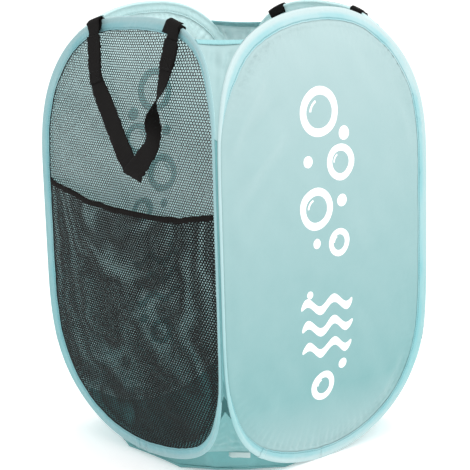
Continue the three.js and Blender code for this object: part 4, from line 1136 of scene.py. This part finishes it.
# ---------------------------------------------------------------- label
def label():
    c = CORNERS[0]
    rows, cols = np.linspace(0, 1, 9)[:, None], np.linspace(0.50, 1.0, 30)[None, :]
    x = (cols - 0.50) / 0.50
    P, n, _ = corner_grid(c, LOW_SEAM + 0 * rows + 0 * cols, LOW_SEAM + 0 * rows + 0 * cols, cols + 0 * rows, 0.02)
    curl = 3.2 * (1 - smooth(x, 0, 0.22)) * rows
    out = 1.1 + 1.6 * rows + 0.5 * np.sin(x * 9.0) * rows + curl
    P = P + n * out[..., None]
    P[..., 2] += -6.4 * rows + 3.0 * (1 - smooth(x, 0, 0.18)) * rows - 1.4
    uv = np.stack([8 * rows + 0 * cols, 40 * cols + 0 * rows], -1)
    ob = shell("side_label", P + n * 0.09, P - n * 0.09, uv, M_LABEL)
    flip_out(ob)
    join(ob)
    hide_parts("care_label")


# ---------------------------------------------------------------- handles
STATIONS = A([
    [86, 568, 7.0, 61.5, 572.5, 7.0], [79, 555, 7.0, 54, 557, 7.0], [70, 534, 6.9, 45, 535, 6.9], [61.5, 503, 6.4, 37, 504, 6.4],
    [54, 482, 6.0, 27, 492, 6.0], [36.5, 455, 5.6, 10, 472, 5.6], [17, 424, 5.2, -9, 443, 5.2], [2, 400, 4.8, -30, 412, 4.8],
    [-6, 391, 4.6, -42, 386, 4.6], [-10, 387.6, 6.6, -46, 378.4, 6.6], [-14, 391.5, 8.8, -50, 383.5, 8.8], [-34, 408, 9.2, -63, 396, 9.2],
    [-54, 424.5, 10.5, -78, 414, 9.0], [-70, 438, 15, -87, 430, 8.0], [-79, 451, 25, -86, 446, 5.0], [-84, 462, 27.5, -80, 462, 4.0],
    [-89, 474, 23, -77, 474, 6.0], [-97, 492, 12.5, -78, 491, 7.0], [-103.5, 517, 7.4, -79.5, 519, 7.0], [-107, 541, 7.0, -82, 543, 7.0],
    [-100.6, 563.5, 7.0, -76, 568.5, 7.0]])


def catmull(points, t):
    """Centripetal Catmull-Rom through the points, t in point numbers."""
    P = np.concatenate([[2 * points[0] - points[1]], points, [2 * points[-1] - points[-2]]])
    out = []
    for x in t:
        i = min(int(x), len(points) - 2)
        w = x - i
        p0, p1, p2, p3 = P[i:i + 4]
        d0, d1, d2 = (max(np.linalg.norm(b - a) ** 0.5, 1e-4) for a, b in ((p0, p1), (p1, p2), (p2, p3)))
        m1 = ((p1 - p0) / d0 - (p2 - p0) / (d0 + d1) + (p2 - p1) / d1) * d1
        m2 = ((p2 - p1) / d1 - (p3 - p1) / (d1 + d2) + (p3 - p2) / d2) * d1
        out.append(p1 + m1 * w + (-3 * p1 + 3 * p2 - 2 * m1 - m2) * w ** 2 + (2 * p1 - 2 * p2 + m1 + m2) * w ** 3)
    return np.array(out)


def hoop_top(side, u):
    """Height of the hoop's upper edge above a place u along the side."""
    q = np.linspace(-150, 150, 601)
    U, V = skew(side, q, top_outline(q))
    return np.interp(u, U, V)


STRAP = {"left": (lambda u: u, lambda u, v: np.clip((v - 480) / 90, 0, 1) * np.where(u > 0, -2.3, 4.2)),
         "right": (lambda u: -u + 15, lambda u, v: np.clip((v - 480) / 90, 0, 1) * np.where(u > 0, -4.3, -0.8))}
WEB_PROFILE = [(-12.5, 0.25), (-12.2, 0.6), (-11, 0.72), (-8, 0.74), (-5, 0.70), (-2, 0.74), (2, 0.74), (5, 0.70), (8, 0.74), (11, 0.72), (12.2, 0.6), (12.5, 0.25),
               (12.5, -0.25), (12.2, -0.6), (11, -0.72), (8, -0.74), (5, -0.70), (2, -0.74), (-2, -0.74), (-5, -0.70), (-8, -0.74), (-11, -0.72), (-12.2, -0.6), (-12.5, -0.25)]


def ribbon(name, e1, e2, mat, seed=0, width=25.0, thick=1.0, wave=0.55, neck=None):
    """A strap between two edge lines (N, 3), with slightly wavy edges."""
    c = (e1 + e2) / 2
    T = unit(np.gradient(c, axis=0))
    X = e2 - e1
    half = np.linalg.norm(X, axis=1, keepdims=True) / 2
    X = unit(X)
    Nn = unit(np.cross(X, T))
    arc = np.concatenate([[0], np.cumsum(np.linalg.norm(np.diff(c, axis=0), axis=1))])
    prof = A(WEB_PROFILE)
    px, pn = prof[:, 0] / 12.5, prof[:, 1] * thick
    wob1, wob2 = wave * waves(arc, 0 * arc, 9, seed), wave * waves(arc, 0 * arc, 9, seed + 1)
    cup = 0.35 * waves(arc, 0 * arc, 45, seed + 2)
    if neck is not None:
        half = half * (1 - 0.16 * np.exp(-((arc - neck[0]) / 9.0) ** 2) - 0.16 * np.exp(-((arc - (arc[-1] - neck[1])) / 9.0) ** 2))[:, None]
    x = px[None, :] * half + np.where(px > 0, wob1[:, None], wob2[:, None]) * np.abs(px)[None, :] ** 4
    n = pn[None, :] + cup[:, None] * (px[None, :] ** 2 - 0.4)
    P = c[:, None] + X[:, None] * x[..., None] + Nn[:, None] * n[..., None]
    uv = np.stack(np.broadcast_arrays((px * 12.5 + 30 * (prof[:, 1] < 0))[None, :], arc[:, None]), -1)
    return sweep(name, P, uv, mat, closed=False), c, T, X, Nn, arc


def handle(side):
    mapu, lift = STRAP[side]
    t = np.linspace(0, len(STATIONS) - 1, 300)
    e = [catmull(STATIONS[:, :3], t), catmull(STATIONS[:, 3:], t)]
    lines = []
    for p in e:
        u, v = mapu(p[:, 0]), p[:, 1] + lift(p[:, 0], p[:, 1])
        start, end = [], []
        for dv, n in (((3.75, 0.7), (3.1, 3.0), (1.6, 4.9), (-0.6, 6.2), (-3.0, 6.9)) if side == "left" else
                      ((-0.8, 5.5), (-1.8, 5.7), (-2.9, 6.0), (-4.0, 6.4), (-5.2, 6.9))):
            start.append((u[0], hoop_top(side, u[0]) + dv, n))
            end.append((u[-1], hoop_top(side, u[-1]) + dv, n))
        body = np.stack([u, v, p[:, 2]], -1)
        keep = (body[:, 1] < hoop_top(side, body[:, 0]) - 7.5)
        body = body[keep]
        allp = np.concatenate([A(start), body[::4], A(end)[::-1]])
        lines.append(allp)
    k = min(len(lines[0]), len(lines[1]))
    if len(lines[0]) != len(lines[1]):      # the two edges keep the same stations
        m = max(len(lines[0]), len(lines[1]))
        lines = [np.stack([np.interp(np.linspace(0, len(q) - 1, m), np.arange(len(q)), q[:, i]) for i in range(3)], -1) for q in lines]
        k = m
    tt = np.linspace(0, k - 1, 420)
    pts = []
    for q in lines:
        q = catmull(q, tt)
        pts.append(place(side, q[:, 0], q[:, 1], q[:, 2], even=True))
    ob, c, T, X, Nn, arc = ribbon(side + "_handle_webbing", pts[0], pts[1], M_WEB, seed=101 if side == "left" else 111, neck=(25.0, 24.0))
    flip_out(ob)
    body = side + "_handle"
    finish_piece(ob, body, "webbing", side + "_handle_strap")
    # turned-back ends: a second layer under each end, with a box of stitches
    for i, (s0, s1) in enumerate(((30, 92), (arc[-1] - 66, arc[-1] - 28))):
        m = (arc >= s0) & (arc <= s1)
        sgn = np.sign(np.sum(Nn[m] * (c[m] * A([1, 1, 0])), 1, keepdims=True))
        off = Nn[m] * sgn * 1.52
        a_, b_ = pts[0][m] + off - X[m] * 0.35, pts[1][m] + off + X[m] * 0.45
        fo, *_ = ribbon(f"{side}_handle_turnback_{i + 1}", a_, b_, M_WEB, seed=121 + i, thick=0.9)
        flip_out(fo)
        finish_piece(fo, body, "webbing")
        lo = (s1 - 15, s1 - 3) if i == 0 else (s0 + 3, s0 + 15)
        path = [(lo[0], -9, lo[0], 9), (lo[1], -9, lo[1], 9), (lo[0], -9, lo[1], -9), (lo[0], 9, lo[1], 9), (lo[0], -9, lo[1], 9)]
        sp, st, sn = [], [], []
        for q0, x0, q1, x1 in path:
            L = math.hypot(q1 - q0, x1 - x0)
            for w in (np.arange(int(L / 2.6)) + 0.5) / int(L / 2.6):
                q, x = q0 + (q1 - q0) * w, x0 + (x1 - x0) * w
                at = lambda arr: np.array([np.interp(q, arc, arr[:, d]) for d in range(3)])
                N1, X1, T1 = at(Nn), at(X), at(T)
                sg = np.sign(N1 @ (at(c) * A([1, 1, 0])))
                sp.append(at(c) + X1 * x + N1 * sg * 2.28)
                st.append(T1 * (q1 - q0) + X1 * (x1 - x0))
                sn.append(N1 * sg)
        finish_piece(threads(f"{side}_handle_stitching_{i + 1}", A(sp), A(st), A(sn), M_WEBTHREAD, length=2.1, r=0.3), body, "webbing")


def loops(side):
    """Webbing folded over the hoop at each end of a handle, legs sewn together below the wire."""
    prof = A([[15, 3.0], [12, 3.05], [8, 3.1], [4, 3.25], [1.6, 3.3], [0.2, 3.0], [-0.7, 2.2], [-1.0, 0.8], [-1.0, -0.8], [-0.7, -2.2], [0.2, -3.0], [1.6, -3.3],
              [4, -3.25], [8, -3.1], [12, -3.05], [12.1, -4.35], [8, -4.45], [4, -4.6], [1.2, -4.65], [-0.9, -4.1], [-2.1, -2.8], [-2.45, -1.0], [-2.45, 1.0],
              [-2.1, 2.8], [-0.9, 4.1], [1.2, 4.65], [4, 4.6], [8, 4.45], [12, 4.35], [15, 4.3]])
    for i, u0 in enumerate(LOOPS[side]):
        uu = u0 + np.linspace(-12.5, 12.5, 21)
        # arc position of each place on the hoop's top
        half = (RS > LEN * 0.25) & (RS < LEN * 0.75)
        order = np.argsort(RU[half])
        ss = np.interp(uu, RU[half][order], RS[half][order])[:, None]
        edge = np.abs(np.linspace(-1, 1, 21))[:, None] ** 6
        a = prof[None, :, 0] + 0 * ss
        n = prof[None, :, 1] * (1 - 0.03 * edge)
        P = ring_surf(side, ss, a, n)
        plen = np.concatenate([[0], np.cumsum(np.hypot(*np.diff(prof, axis=0).T))])
        uv = np.stack(np.broadcast_arrays(np.linspace(-12.5, 12.5, 21)[:, None], plen[None, :]), -1)
        ob = sweep(f"{side}_loop_{i + 1}", P, uv, M_WEB, closed=False)
        flip_out(ob)
        finish_piece(ob, side + "_side", "webbing", f"{side}_handle_loop_{i + 1}")


# ---------------------------------------------------------------- build
for side_ in ("left", "front", "right", "back"):
    casing(side_)
for side_ in ("front", "back"):
    fabric_panel(side_)
    prints(side_)
# painted shadows of the ink on the inner faces of the two cloth sides
prints("back", inner=True)
prints("front", inner=True)
for side_ in ("left", "right"):
    net_panel(side_)
    handle(side_)
    loops(side_)
pocket()
for corner_ in CORNERS:
    gusset(corner_, True)
    gusset(corner_, False)
    hem(corner_)
    corner_seam(corner_)
    floor_corner(corner_[0])
for side_ in ("left", "front", "right", "back"):
    floor_flap(side_)
label()

for name_, ob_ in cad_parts.items():
    m_ = M_STEEL if name_.endswith("_wire") else M_FERRULE if name_.endswith("_ferrule") else None
    if m_ is not None:
        ob_.data.materials.clear() if not ob_.material_slots else None
        for slot_ in ob_.material_slots:
            slot_.material = m_

# ---------------------------------------------------------------- stage
bpy.ops.mesh.primitive_plane_add(size=60, location=(0, 0, -0.0002))
floor = bpy.context.object
floor.name = "studio_floor"
kf = Nodes("studio floor")
nf = kf.noise(kf.add("ShaderNodeTexCoord").outputs["Object"], 3.0, 2, 0.5)
kf.link(kf.ramp(nf, [(0.3, (0.93, 0.93, 0.93)), (0.7, (0.95, 0.95, 0.95))]), kf.b.inputs["Base Color"])
kf.b.inputs["Roughness"].default_value = 0.9
kf.b.inputs["Specular IOR Level"].default_value = 0.0
kf.b.inputs["Emission Color"].default_value = (1, 1, 1, 1)
kf.b.inputs["Emission Strength"].default_value = 0.3
floor.data.materials.append(kf.m)

world = bpy.data.worlds.new("studio")
bpy.context.scene.world = world
world.use_nodes = True
world.node_tree.nodes["Background"].inputs[0].default_value = (1, 1, 1, 1)
world.node_tree.nodes["Background"].inputs[1].default_value = 1.06


def area_light(name, loc, target, size, power):
    d = bpy.data.lights.new(name, "AREA")
    d.shape, d.size, d.size_y, d.energy = "RECTANGLE", size[0], size[1], power
    o = bpy.data.objects.new(name, d)
    o.location = loc
    o.rotation_euler = (Vector(target) - Vector(loc)).to_track_quat("-Z", "Y").to_euler()
    bpy.context.scene.collection.objects.link(o)


area_light("key", (0.35, -1.95, 1.95), (0, 0, 0.42), (1.2, 0.9), 13)
area_light("top", (0.05, -0.55, 2.3), (0, 0, 0.3), (1.6, 1.6), 12)

az_, el_, roll_ = math.radians(-40.604), math.radians(12.038), math.radians(-1.566)
back_ = Vector((math.sin(az_) * math.cos(el_), -math.cos(az_) * math.cos(el_), math.sin(el_)))
right_ = (-back_).cross(Vector((0, 0, 1))).normalized()
up_ = right_.cross(-back_)
loc_ = Vector((0, 0, 0.275744)) + right_ * 0.000138 + back_ * 2.00666
right2_ = right_ * math.cos(roll_) + up_ * math.sin(roll_)
up2_ = up_ * math.cos(roll_) - right_ * math.sin(roll_)
cam_ = bpy.data.cameras.new("camera")
cam_.sensor_width, cam_.lens = 36.0, 114.196
camera = bpy.data.objects.new("camera", cam_)
camera.matrix_world = Matrix((
    (right2_.x, up2_.x, back_.x, loc_.x), (right2_.y, up2_.y, back_.y, loc_.y), (right2_.z, up2_.z, back_.z, loc_.z), (0, 0, 0, 1)))
bpy.context.scene.collection.objects.link(camera)
bpy.context.scene.camera = camera
bpy.context.scene.view_settings.view_transform = "Standard"
